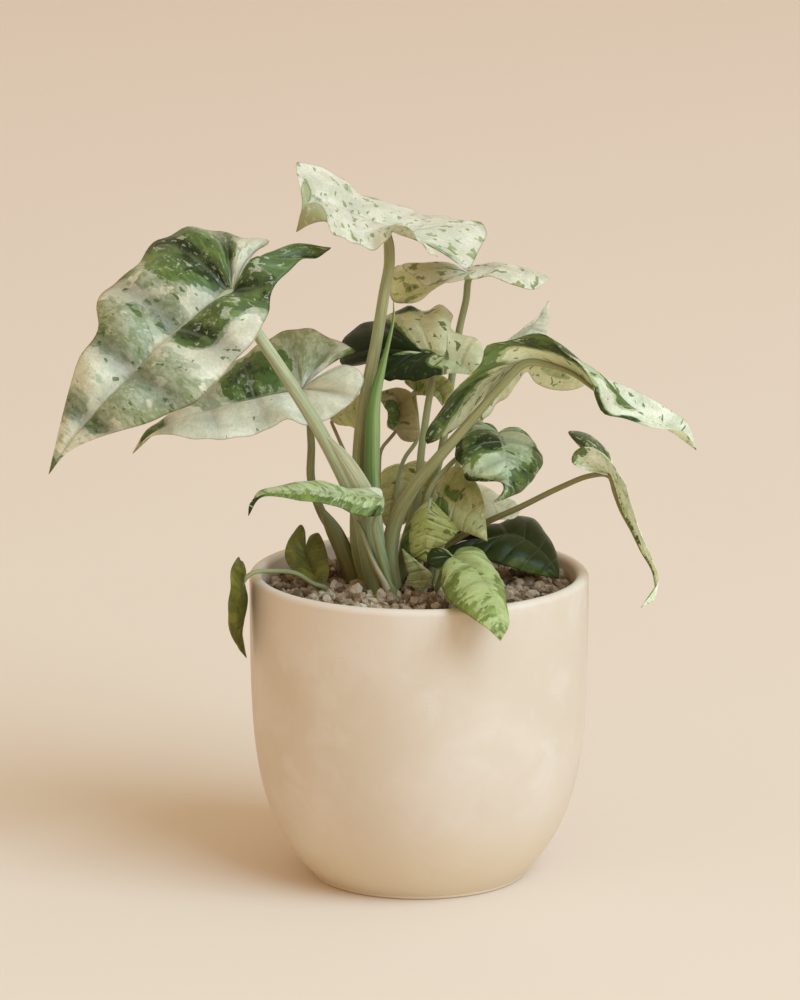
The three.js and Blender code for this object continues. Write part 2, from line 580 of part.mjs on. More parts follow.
function pot() {
  const profile = [new THREE.Vector2(0, 0)];
  const lipStart = POT_HEIGHT - LIP_ROUNDING;
  for (const z of wallHeights(0, lipStart)) {
    profile.push(new THREE.Vector2(potRadius(z), z));
  }
  const lipHalf = POT_WALL / 2;
  const lipCentre = potRadius(lipStart) - lipHalf;
  for (const angle of LIP_ANGLES) {
    const a = THREE.MathUtils.degToRad(angle);
    profile.push(new THREE.Vector2(
      lipCentre + lipHalf * Math.cos(a), lipStart + LIP_ROUNDING * Math.sin(a)));
  }
  for (const z of wallHeights(FLOOR_THICKNESS, lipStart).reverse()) {
    profile.push(new THREE.Vector2(potRadius(z) - POT_WALL, z));
  }
  profile.push(new THREE.Vector2(0, FLOOR_THICKNESS));
  return turned(profile);
}

const fillRadius = (z) => potRadius(z) - POT_WALL - CLEARANCE;

function soil() {
  const profile = [new THREE.Vector2(0, FLOOR_THICKNESS + CLEARANCE)];
  for (const z of wallHeights(FLOOR_THICKNESS + CLEARANCE, SOIL_TOP, SOIL_STEPS)) {
    profile.push(new THREE.Vector2(fillRadius(z) - CLEARANCE, z));
  }
  profile.push(new THREE.Vector2(0, SOIL_TOP));
  return turned(profile);
}

// The bed of gravel: a flat layer with seeded grains sunk into its top, higher near the stalks
function gravel() {
  const bottom = SOIL_TOP + CLEARANCE;
  const edge = fillRadius(SOIL_TOP) - CLEARANCE;
  const profile = [[0, bottom], [edge, bottom], [edge, GRAVEL_TOP], [0, GRAVEL_TOP]];
  const pieces = [turned(profile.map((corner) => new THREE.Vector2(...corner)))];
  const random = seededRandom(GRAVEL_SEED);
  const rowGap = GRAIN_SPACING * Math.sqrt(3) / 2;
  const reach = Math.ceil(POT_RADIUS / rowGap);
  for (let row = -reach; row <= reach; row += 1) {
    for (let column = -reach; column <= reach; column += 1) {
      const x = (column + (row % 2) / 2 + GRAIN_JITTER * (random() - 0.5)) * GRAIN_SPACING;
      const y = (row + GRAIN_JITTER * (random() - 0.5)) * rowGap;
      const size = THREE.MathUtils.lerp(...GRAIN_SIZE, random());
      const turn = new THREE.Euler(...[0, 0, 0].map(() => GRAIN_TURN * random()));
      const radius = Math.hypot(x, y);
      if (radius < edge - size) {
        const rise = MOUND_HEIGHT * (1 - radius / edge);
        const grain = new THREE.OctahedronGeometry(size, 0);
        grain.scale(...GRAIN_SHAPE);
        grain.applyMatrix4(new THREE.Matrix4().makeRotationFromEuler(turn));
        grain.translate(x, y, GRAVEL_TOP + size * GRAIN_RISE + rise);
        pieces.push(solidOf(grain));
      }
    }
  }
  return wasm.Manifold.union(pieces);
}

// Leaves that catch the eye get their own tone, the rest the tone of old leaves
const TONES = {
  big_left: 'pale', left_low: 'pale', top_white: 'pale', top_right: 'pale',
  centre_dark: 'dark', right_big: 'green', right_back: 'pale', mid_right: 'green',
  right_droop: 'green', narrow_left: 'green', green_front: 'green', dark_right: 'dark',
};

function part(name, geometry, colour, roughness) {
  const material = new THREE.MeshStandardMaterial({ color: COLOURS[colour], roughness, metalness: 0 });
  const mesh = new THREE.Mesh(geometry, material);
  mesh.name = name;
  return mesh;
}

const plant = new THREE.Group();
plant.add(part('pot', geometryOf(pot()), 'ceramic', 0.6));

const holes = wasm.Manifold.union([
  ...Object.values(LEAVES).map((leaf) => solidOf(stalk(leaf, HOLE_CLEARANCE))),
  solidOf(newLeaf(HOLE_CLEARANCE)),
]);
plant.add(part('soil', geometryOf(largestPiece(soil().subtract(holes))), 'soil', 0.95));
plant.add(part('gravel', geometryOf(largestPiece(gravel().subtract(holes))), 'pumice', 0.9));

for (const [name, leaf] of Object.entries(LEAVES)) {
  plant.add(part(`leaf_${name}`, geometryOf(leafSolid(leaf)), TONES[name] ?? 'olive', 0.5));
}

plant.add(part('leaf_new', geometryOf(solidOf(newLeaf())), 'stem', 0.5));

export default plant;
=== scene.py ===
"""A variegated giant taro in a round cream ceramic pot, dressed with pumice gravel.

Metres, +Z up, the middle of the pot's foot at the origin; the plant is seen from -Y. The tables
are in millimetres. A leaf's blade is a surface of two numbers: along, the share of a half's
margin from the stalk round the back lobe to the tip, and across, the share from rib to margin.
"""

import math

import bpy
import numpy as np
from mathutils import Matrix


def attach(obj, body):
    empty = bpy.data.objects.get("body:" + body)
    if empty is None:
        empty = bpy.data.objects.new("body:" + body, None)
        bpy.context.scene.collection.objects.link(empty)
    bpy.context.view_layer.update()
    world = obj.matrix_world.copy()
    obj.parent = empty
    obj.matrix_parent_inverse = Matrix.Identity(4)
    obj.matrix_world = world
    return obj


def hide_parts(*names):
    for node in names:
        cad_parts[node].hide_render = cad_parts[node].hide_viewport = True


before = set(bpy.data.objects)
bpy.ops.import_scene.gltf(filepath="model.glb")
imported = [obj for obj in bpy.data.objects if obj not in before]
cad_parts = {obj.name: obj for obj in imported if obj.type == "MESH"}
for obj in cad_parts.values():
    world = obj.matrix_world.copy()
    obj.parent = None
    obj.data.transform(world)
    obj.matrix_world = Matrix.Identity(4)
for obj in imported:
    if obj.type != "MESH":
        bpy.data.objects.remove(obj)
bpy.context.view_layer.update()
MM = 0.001

# Pot
POT_RADIUS = 80.0
POT_HEIGHT = 146.5
POT_WALL = 6.0
FOOT_RADIUS = 49.5
FOOT_ROUNDING = 1.6
FOOT_HOLLOW = 1.2
FOOT_RING = (9, 7)
FLOOR_THICKNESS = 7.0
FLOOR_ROUNDING = 4.0
FLOOR_EDGE = (3, 0.5)
FLOOR_FLAT = 40.0
LIP_ROUNDING = 2.9
WALL_TAPER = 3.0
BELLY_POWER = 5.2
WALL_BUNCHING = 1.6
POT_SIDES = 160

# Soil and gravel; each patch of bare soil is a middle and two radii, each layer of gravel a
# share of the spacing and a rise
SOIL_TOP = 132.0
SOIL_WALL_GAP = 0.5
SOIL_FLOOR_GAP = 0.3
SOIL_COVER = 0.8
SOIL_LUMPS = ((0.5, 9.0), (0.3, 4.2))
SOIL_EDGE = 6
SOIL_SEED = 3
BED_TOP = 135.2
BED_EDGE_GAP = 1.4
MOUND_HEIGHT = 1.6
GRAIN_SPACING = 3.7
ROW_SPACING = 0.87
GRAIN_JITTER = (0.38, 0.36)
GRAIN_RISE = 0.5
GRAIN_INSET = 0.6
GRAVEL_LAYERS = ((1.0, 0.6), (1.7, 2.6))
GRAIN_RADII = (1.3, 3.3)
MEAN_GRAIN = 2.3
GRAIN_ROUGHNESS = 0.17
GRAIN_STRETCH = (0.70, 1.20)
GRAVEL_SEED = 7
BARE_SOIL = ((44.0, 26.0, 17.0, 9.0), (-38.0, 26.0, 9.0, 12.0), (-8.0, -6.0, 15.0, 8.0))
BARE_EDGE = (0.7, 1.1)
CRUMB_DENSITY = 0.9
CRUMB_RADII = (1.0, 2.3)
CRUMB_ROUGHNESS = 0.18
CRUMB_SINK = 0.4
CRUMB_SEED = 12

# Leaf blades; the grain of a half's splashes is so many times as long as its rib
VEIN_ROWS = 84
VEIN_COLUMNS = 14
CURVE_STEPS = 24
FACING_REACH = 7
GRAIN_LENGTH = 1.3
WELD_CELLS = 2000
BLADE_HALF = 0.26
MARGIN_HALF = 0.12
THINNING = (0.5, 1.0)
RIPPLE_HEIGHT = 0.02
RIPPLES_PER_WAVE = 3.3
MORE_RIPPLES = 2.4
PUFF_POWER = 0.8
PUFF_MEAN = 0.8
PUFF_CHANGE = 0.35
PUFF_WAVELENGTH = 26.0
PUFF_SEED = 11
QUILTED_WIDTH = 30
ROLLING_WAVES = 14
PATCH_EDGE = (0.7, 1.12)

# Stalks, the ridge under the rib that each runs on as, and sheaths
STALK_SIDES = 16
STALK_DEPTH = 12.0
STALK_LEAST_RINGS = 12
STALK_RIBS = 5
RIB_HEIGHT = 0.03
GROOVE_DEPTH = 0.10
GROOVE_WIDTH = 0.5
RING_STEP = 2.4
ROOT_LEVEL = 139.0
RIDGE_SHARES = (0.0, 0.12, 0.25, 0.4, 0.55, 0.7, 0.85)
RIDGE_DROPS = (0.6, 0.6, 0.5, 0.35, 0.25, 0.15, 0.1)
RIDGE_END = 0.12
RIDGE_POWER = 1.7
SHEATH_GRID = (60, 25)
SHEATH_HALF = 0.35
PLEATS = 6.5
PLEAT_HEIGHT = 0.012

# Each leaf gives, in millimetres, the place of its foot in the soil, the course of its stalk up
# to the blade, and its rib and left and right margins as seen from above with the tip ahead; the
# stalk's radii at foot and blade, and the power of its taper; which point of the ridge is first;
# the swell of each half as a share of its width; the share of the margin whose veins start at
# the stalk; and the height and number of the margin's waves.
PLAIN_LEAF = dict(cup=(0.12, 0.12), wave=(0.0, 1), taper=1.5, late=0)
LEAVES = {
    "big_left": dict(
        foot=(-21, -10), stalk=(4.4, 2.1), cup=(0.1, 0.12), fan=0.42, wave=(1.2, 3),
        petiole=[(-23, -13, 162), (-31, -17, 186), (-46, -22, 218), (-63, -26, 247), (-75, -28, 266)],
        rib=[(-86, -27, 285), (-99, -34, 278), (-117, -43, 265), (-137, -53, 246), (-155, -59, 227),
            (-170, -60, 206)],
        left=[(-78, -22, 296), (-67, -12, 301), (-53, -4, 303), (-41, -4, 302), (-48, -16, 300), (-55, -26, 299),
            (-64, -36, 291), (-68, -42, 285), (-69, -48, 278), (-77, -56, 267), (-89, -62, 255), (-100, -68, 243),
            (-114, -70, 236), (-127, -70, 231), (-146, -66, 225), (-161, -62, 217)],
        right=[(-80, -14, 295), (-75, -2, 300), (-70, 6, 303), (-81, 12, 304), (-93, 16, 306), (-105, 14, 308),
            (-116, 8, 305), (-126, 0, 300), (-132, -8, 293), (-141, -14, 288), (-149, -22, 280), (-148, -34, 268),
            (-156, -44, 257), (-162, -52, 239)]),
    "left_low": dict(
        foot=(-30, 8), stalk=(3.0, 1.1), cup=(0.1, 0.08), fan=0.42, wave=(0.8, 3),
        petiole=[(-35, 10, 154), (-46, 14, 171), (-51, 14, 187), (-51, 12, 207)],
        rib=[(-55, 8, 232), (-74, 4, 229), (-96, -4, 225), (-119, -10, 218), (-134, -10, 205)],
        left=[(-44, 4, 241), (-35, 2, 245), (-28, -2, 243), (-26, -4, 239), (-30, -6, 231), (-39, -8, 223),
            (-51, -10, 218), (-62, -14, 222), (-73, -20, 218), (-88, -24, 215), (-104, -26, 215), (-118, -22, 217),
            (-126, -16, 214)],
        right=[(-50, 16, 239), (-42, 26, 243), (-30, 32, 246), (-39, 36, 250), (-54, 38, 255), (-68, 36, 252),
            (-82, 30, 245), (-96, 22, 236), (-110, 12, 226), (-121, 0, 219), (-128, -6, 215)]),
    "top_white": dict(
        foot=(-25, 3), stalk=(3.8, 2.4), late=1, cup=(0.06, 0.06), fan=0.45, wave=(0.6, 3),
        petiole=[(-29, 3, 158), (-29, 4, 184), (-27, 5, 218), (-20, 6, 256), (-16.5, 6, 278), (-14, 6, 294)],
        rib=[(-9, 6, 306), (-28, 4, 315), (-44, 0, 322), (-53, -8, 322), (-57, -10, 310)],
        left=[(-2, 2, 305), (4, -4, 302), (9, -10, 299), (5, -18, 302), (-1, -24, 309), (-8, -26, 316),
            (-14, -25, 311), (-20, -24, 305), (-31, -26, 308), (-40, -26, 312), (-43, -22, 317), (-50, -16, 315)],
        right=[(1, 8, 304), (10, 4, 299), (19, -2, 293), (23, 0, 291), (27, 12, 296), (32, 26, 304), (28, 36, 306),
            (14, 42, 307), (-2, 42, 311), (-14, 40, 316), (-26, 34, 320), (-35, 26, 328), (-46, 16, 336),
            (-57, 6, 340), (-56, -3, 333), (-54, -8, 322)]),
    "top_right": dict(
        foot=(-7, 14), stalk=(2.2, 1.6), cup=(0.06, 0.08), fan=0.5, wave=(0.6, 2),
        petiole=[(-1, 22, 161), (7, 28, 184), (11, 31, 200), (14, 34, 222), (16, 36, 236), (19, 38, 255),
            (22, 36, 269)],
        rib=[(24, 30, 283), (36, 30, 286), (47, 28, 285), (57, 26, 283), (62, 26, 282)],
        left=[(12, 40, 285), (0, 46, 282), (-10, 48, 284), (-14, 54, 274), (-12, 54, 266), (-5, 54, 264),
            (3, 54, 268), (12, 52, 275), (24, 48, 283), (34, 44, 286), (45, 38, 286), (56, 30, 284)],
        right=[(14, 32, 288), (3, 32, 288), (-8, 32, 287), (-4, 26, 284), (3, 20, 280), (12, 18, 281),
            (24, 18, 282), (33, 16, 284), (47, 14, 280), (54, 18, 278)]),
    "centre_dark": dict(
        foot=(-9, 6), stalk=(2.4, 1.5), cup=(0.1, 0.1), fan=0.5, wave=(0.8, 3),
        petiole=[(-7, 10, 157), (-1, 13, 178), (1, 15, 201), (4, 18, 222), (6, 20, 236)],
        rib=[(2, 22, 247), (10, 16, 247), (19, 10, 243), (26, 6, 239)],
        left=[(-8, 29, 244), (-22, 37, 239), (-37, 43, 237), (-38, 47, 242), (-33, 51, 251), (-23, 54, 255),
            (-13, 54, 259), (-6, 54, 264), (1, 50, 262), (10, 46, 265), (16, 40, 261), (15, 34, 256), (20, 28, 254),
            (27, 20, 254), (30, 12, 248)],
        right=[(-7, 20, 248), (-15, 21, 245), (-22, 21, 240), (-19, 17, 236), (-15, 13, 235), (-8, 9, 237),
            (0, 4, 237), (10, 2, 240), (18, 3, 241)]),
    "right_big": dict(
        foot=(-13, -6), stalk=(5.6, 1.8), taper=3.0, cup=(0.1, 0.1), fan=0.4,
        petiole=[(-14, -8, 158), (-11, -10, 173), (-3, -14, 189), (10, -18, 206), (24, -21, 223), (37, -24, 239)],
        rib=[(49, -25, 252), (58, -27, 252), (70, -28, 248), (80, -26, 240), (95, -24, 232), (112, -22, 222),
            (129, -20, 209)],
        left=[(39, -20, 238), (31, -18, 229), (25, -16, 221), (32, -12, 224), (36, -9, 229), (41, -8, 231),
            (46, -10, 239), (50, -12, 245), (54, -8, 239), (60, -6, 235), (67, -6, 234), (76, -8, 237),
            (82, -10, 242), (90, -12, 240), (103, -14, 235), (117, -16, 227), (125, -18, 221)],
        right=[(39, -18, 243), (28, -12, 230), (17, -10, 217), (4, -10, 209), (4, -16, 218), (10, -22, 229),
            (17, -26, 239), (24, -28, 246), (29, -30, 253), (31, -32, 261), (43, -34, 264), (53, -36, 267),
            (59, -38, 266), (66, -40, 260), (74, -42, 255), (79, -44, 247), (81, -42, 238), (85, -38, 230),
            (95, -34, 227), (107, -30, 222), (123, -24, 218)]),
    "right_back": dict(
        foot=(-5, 22), stalk=(1.7, 1.2), cup=(0.05, 0.05), fan=0.15,
        petiole=[(3, 30, 154), (15, 38, 182), (27, 42, 205), (34, 46, 222)],
        rib=[(38, 48, 232), (46, 52, 242), (54, 58, 253), (62, 64, 264)],
        left=[(35, 44, 238), (40, 46, 246), (48, 50, 252), (56, 54, 258)],
        right=[(46, 48, 230), (55, 50, 238), (60, 54, 248), (62, 58, 257)]),
    "mid_right": dict(
        foot=(-1, 2), stalk=(1.8, 1.0), cup=(0.16, 0.16), fan=0.35, wave=(0.8, 2),
        petiole=[(0, 0, 161), (5, -3, 186), (13, 0, 196), (22, 5, 203), (30, 7, 207)],
        rib=[(37, 3, 212), (39, -10, 209), (41, -20, 201), (40, -24, 192), (35, -24, 185)],
        left=[(44, 10, 213), (52, 12, 209), (57, 2, 203), (58, -4, 200), (53, -10, 193), (48, -14, 188),
            (41, -20, 186)],
        right=[(31, 10, 215), (24, 8, 215), (18, 2, 210), (17, -5, 207), (17, -10, 203), (20, -15, 200),
            (22, -17, 194), (29, -20, 194), (38, -22, 194), (40, -24, 190)]),
    "right_droop": dict(
        foot=(4, 5), stalk=(1.8, 1.1), cup=(0.08, 0.08), fan=0.4,
        petiole=[(12, 7, 155), (29, 6, 167), (47, 0, 177), (66, -6, 188), (80, -12, 195)],
        rib=[(89, -14, 196), (92, -14, 187), (96, -15, 176), (101, -16, 167), (104, -17, 160), (109, -18, 151),
            (111, -18, 142), (110, -18, 137), (104, -18, 133)],
        left=[(85, -4, 200), (75, 2, 206), (70, 6, 212), (74, 10, 212), (79, 12, 210), (84, 12, 206), (88, 10, 202),
            (91, 6, 196), (94, 2, 190), (97, -2, 182), (101, -5, 173), (105, -8, 164), (108, -12, 156),
            (112, -15, 147)],
        right=[(84, -19, 198), (79, -24, 200), (71, -28, 205), (72, -31, 210), (76, -33, 213), (81, -33, 213),
            (85, -31, 210), (89, -29, 205), (92, -28, 200), (96, -28, 195), (98, -28, 187), (101, -28, 177),
            (105, -26, 167), (109, -24, 157), (112, -21, 147)]),
    "narrow_left": dict(
        foot=(-12, -18), stalk=(1.5, 1.2), cup=(0.1, 0.1), fan=0.2,
        petiole=[(-15, -19, 147), (-19, -22, 162), (-21, -25, 174)],
        rib=[(-17, -25, 187), (-39, -32, 191), (-55, -36, 193), (-71, -38, 192), (-78, -40, 188), (-79, -40, 182)],
        left=[(-17, -29, 181), (-21, -32, 180), (-30, -37, 182), (-39, -41, 187), (-55, -43, 190), (-73, -41, 191)],
        right=[(-18, -23, 191), (-25, -24, 192), (-34, -26, 192), (-46, -28, 196), (-55, -30, 196), (-67, -32, 194),
            (-75, -35, 192)]),
    "green_front": dict(
        foot=(8, -14), stalk=(1.6, 1.0), fan=0.35, wave=(0.6, 2),
        petiole=[(10, -16, 146), (12, -20, 153)],
        rib=[(16, -30, 160), (23, -46, 160), (30, -70, 157), (35, -90, 150), (37, -98, 137)],
        left=[(20, -24, 163), (27, -24, 163), (32, -36, 161), (38, -58, 156), (40, -78, 150), (41, -92, 143)],
        right=[(13, -28, 163), (8, -27, 164), (5, -26, 162), (4, -29, 157), (10, -36, 155), (10, -54, 153),
            (14, -76, 150), (19, -88, 149), (24, -94, 147), (32, -98, 142)]),
    "dark_right": dict(
        foot=(10, 2), stalk=(1.6, 1.1), fan=0.35, wave=(0.6, 2),
        petiole=[(15, 8, 147), (23, 12, 153)],
        rib=[(32, 13, 158), (44, 12, 161), (56, 8, 155), (63, 4, 148), (66, 2, 142)],
        left=[(24, 22, 156), (16, 28, 154), (12, 34, 154), (24, 34, 158), (39, 32, 162), (46, 32, 165),
            (53, 30, 165), (61, 24, 158), (66, 14, 149)],
        right=[(24, 8, 156), (16, 6, 156), (12, 4, 155), (26, 2, 152), (40, -1, 149), (50, -1, 146), (58, 0, 144)]),
    "outer_left": dict(
        foot=(-43, -8), stalk=(1.45, 0.95), fan=0.3,
        petiole=[(-50, -12, 143), (-58, -16, 149), (-69, -20, 151), (-78, -24, 151)],
        rib=[(-82, -24, 146), (-84, -26, 136), (-85, -26, 126), (-85, -24, 116), (-81, -20, 109)],
        left=[(-81, -16, 150), (-83, -16, 155), (-85, -17, 154), (-81, -14, 140), (-81, -14, 135), (-83, -18, 123)],
        right=[(-84, -29, 153), (-84, -29, 160), (-87, -31, 156), (-88, -34, 145), (-89, -34, 135),
            (-88, -30, 123)]),
    "small_left": dict(
        foot=(-40, 4), stalk=(1.2, 0.8), fan=0.45,
        petiole=[(-42, 8, 138), (-46, 12, 140), (-52, 14, 144)],
        rib=[(-54, 12, 151), (-52, 7, 147), (-49, 0, 143.5), (-44.5, -6, 140.8)],
        left=[(-52, 14, 156), (-52, 16, 159), (-48, 16, 161), (-45, 12, 157), (-43, 4, 151), (-42.5, -3, 145)],
        right=[(-55, 16, 155), (-54, 18, 161), (-56, 20, 164), (-60, 18, 160), (-63, 12, 155), (-63, 6, 150),
            (-58, 0, 145.8), (-50.5, -4, 142.4)]),
    "back_pink": dict(
        foot=(-19, 16), stalk=(1.2, 0.8), cup=(0.1, 0.1), fan=0.3,
        petiole=[(-20, 22, 156), (-19, 28, 184), (-18, 31, 198), (-14, 33, 203)],
        rib=[(-11, 32, 207), (-9, 36, 214), (-11, 38, 222), (-19, 36, 225)],
        left=[(-15, 32, 209), (-15, 31, 216), (-18, 33, 221)],
        right=[(-8, 30, 203), (-2, 28, 203), (0, 28, 209), (-2, 31, 218), (-4, 35, 225), (-10, 37, 227)]),
    "back_left": dict(
        foot=(-27, 22), stalk=(1.2, 0.8), cup=(0.1, 0.1), fan=0.2,
        petiole=[(-27, 26, 155), (-30, 30, 179), (-35, 34, 195), (-39, 36, 204)],
        rib=[(-42, 36, 212), (-35, 34, 215), (-29, 32, 217), (-23, 30, 218)],
        left=[(-44, 38, 212), (-38, 40, 216), (-30, 38, 222), (-25, 34, 227)],
        right=[(-39, 33, 210), (-33, 28, 210), (-27, 26, 209), (-24, 27, 213)]),
    "back_centre": dict(
        foot=(-14, 14), stalk=(1.3, 0.9), cup=(0.1, 0.1), fan=0.25,
        petiole=[(-12, 22, 161), (-10, 28, 184), (-7, 30, 194), (-1, 32, 203), (-1, 34, 213)],
        rib=[(-2, 34, 226), (4, 31, 228), (10, 28, 226), (11, 27, 220)],
        left=[(-7, 37, 230), (-1, 38, 233), (10, 33, 234), (16, 27, 229)],
        right=[(-4, 31, 225), (2, 28, 225), (7, 26, 225)]),
    "back_round": dict(
        foot=(-14, 26), stalk=(1.4, 0.9), fan=0.35,
        petiole=[(-13, 34, 153), (-10, 42, 171), (-7, 42, 185)],
        rib=[(-7, 37, 189), (-8, 30, 181), (-11, 28, 170), (-14, 28, 159)],
        left=[(-1, 39, 191), (5, 38, 190), (9, 34, 187), (7, 30, 176), (-2, 28, 166)],
        right=[(-12, 39, 189), (-17, 36, 187), (-20, 32, 181), (-19, 30, 171), (-18, 28, 165)]),
    "spotted": dict(
        foot=(2, -10), stalk=(1.4, 0.9), fan=0.25,
        petiole=[(1, -9, 149), (0, -8, 166), (3, -8, 179)],
        rib=[(5, -9, 183), (4, -14, 177), (3, -16, 165), (3, -14, 154)],
        left=[(8, -11, 181), (13, -13, 176), (18, -10, 168), (13, -13, 163), (8, -14, 160)],
        right=[(0, -9, 179), (-5, -9, 171), (-8, -8, 162), (-6, -12, 156)]),
    "cream_fold": dict(
        foot=(7, -3), stalk=(1.4, 0.9), cup=(0.1, 0.1), fan=0.25,
        petiole=[(9, -2, 150), (12, 0, 166), (11, 3, 178)],
        rib=[(8, 2, 184), (17, -4, 179), (25, -8, 171), (32, -10, 163)],
        left=[(10, 8, 188), (17, 10, 195), (23, 8, 192), (29, 2, 184), (31, -4, 174)],
        right=[(6, 0, 179), (10, -4, 174), (17, -6, 168), (24, -8, 166)]),
    "pale_back": dict(
        foot=(8, 11), stalk=(1.4, 0.9), cup=(0.08, 0.08), fan=0.3,
        petiole=[(13, 16, 155), (17, 20, 169)],
        rib=[(19, 20, 177), (29, 18, 177), (38, 16, 174), (48, 14, 172)],
        left=[(22, 26, 183), (30, 26, 182), (38, 22, 178), (45, 18, 176)],
        right=[(24, 12, 171), (32, 10, 169), (39, 10, 169), (45, 12, 169)]),
    "old_sheath": dict(
        foot=(0, -17), stalk=(1.6, 1.2), fan=0.1,
        petiole=[],
        rib=[(0, -18, 140), (1, -18, 147), (-2, -18, 155), (-8, -17, 161)],
        left=[(-5, -17, 145), (-5, -17, 149), (-7, -17, 156)],
        right=[(5, -17, 144), (6, -18, 149), (2, -18, 153), (-4, -18, 158)]),
}

# The youngest leaf is still rolled: the course of its middle, and its radii from foot to point
ROLLED_COURSE = [
    (-15, 3, 120), (-15, 3, 139), (-20, 0, 159), (-22, -2, 186), (-22, -2, 210), (-21, -2, 229), (-17, -2, 246),
    (-14, -2, 258), (-12, -2, 268), (-12, -2, 276)]
ROLLED_RADII = [2.4, 2.8, 3.0, 3.2, 3.3, 3.4, 3.5, 3.7, 3.6, 3.1, 2.2, 1.2, 0.7, 0.25]

# Open sheaths at the feet of the big stalks: a sheet between an inner and an outer edge that
# bulges by a share of its width, with its colours at foot and top
SHEATHS = {
    "big_left": [
        dict(inner=[(-45, -22, 218), (-39, -20, 203), (-31, -17, 186), (-27, -14, 174), (-23, -12, 162),
                    (-21, -10, 137)],
             outer=[(-41, -24, 216), (-31, -21, 205), (-22, -18, 190), (-18, -14, 177), (-16, -11, 161),
                    (-12, -8, 137)], bulge=0.30, colours=((0.24, 0.25, 0.11), (0.46, 0.42, 0.25))),
        dict(inner=[(-31, -16, 182), (-29, -15, 165), (-27, -14, 152), (-25, -13, 136)],
             outer=[(-21, -15, 184), (-17, -15, 165), (-14, -13, 152), (-10, -11, 136)],
             bulge=0.34, colours=((0.17, 0.17, 0.065), (0.27, 0.29, 0.15)))],
    "left_low": [
        dict(inner=[(-48, 11, 178), (-44, 9, 164), (-39, 7, 152), (-34, 5, 136)],
             outer=[(-46, 8, 176), (-37, 6, 166), (-31, 4, 154), (-25, 2, 136)],
             bulge=0.34, colours=((0.14, 0.125, 0.035), (0.17, 0.155, 0.05)))],
}

# A thin dry strand before the stalks, which ends in a cut stub
STRAND_COURSE = [(-29, -19, 175), (-25, -20, 165), (-21, -20, 155), (-16, -19, 145), (-14, -18, 139)]
STRAND_RADII = [0.5, 1.0, 1.2, 1.3, 1.7, 2.2]
STUB_COURSE = [(-9, -12, 132), (-12, -15, 138), (-15, -18, 143)]
STUB_RADII = [3.4, 3.2, 3.1, 3.0, 2.9]

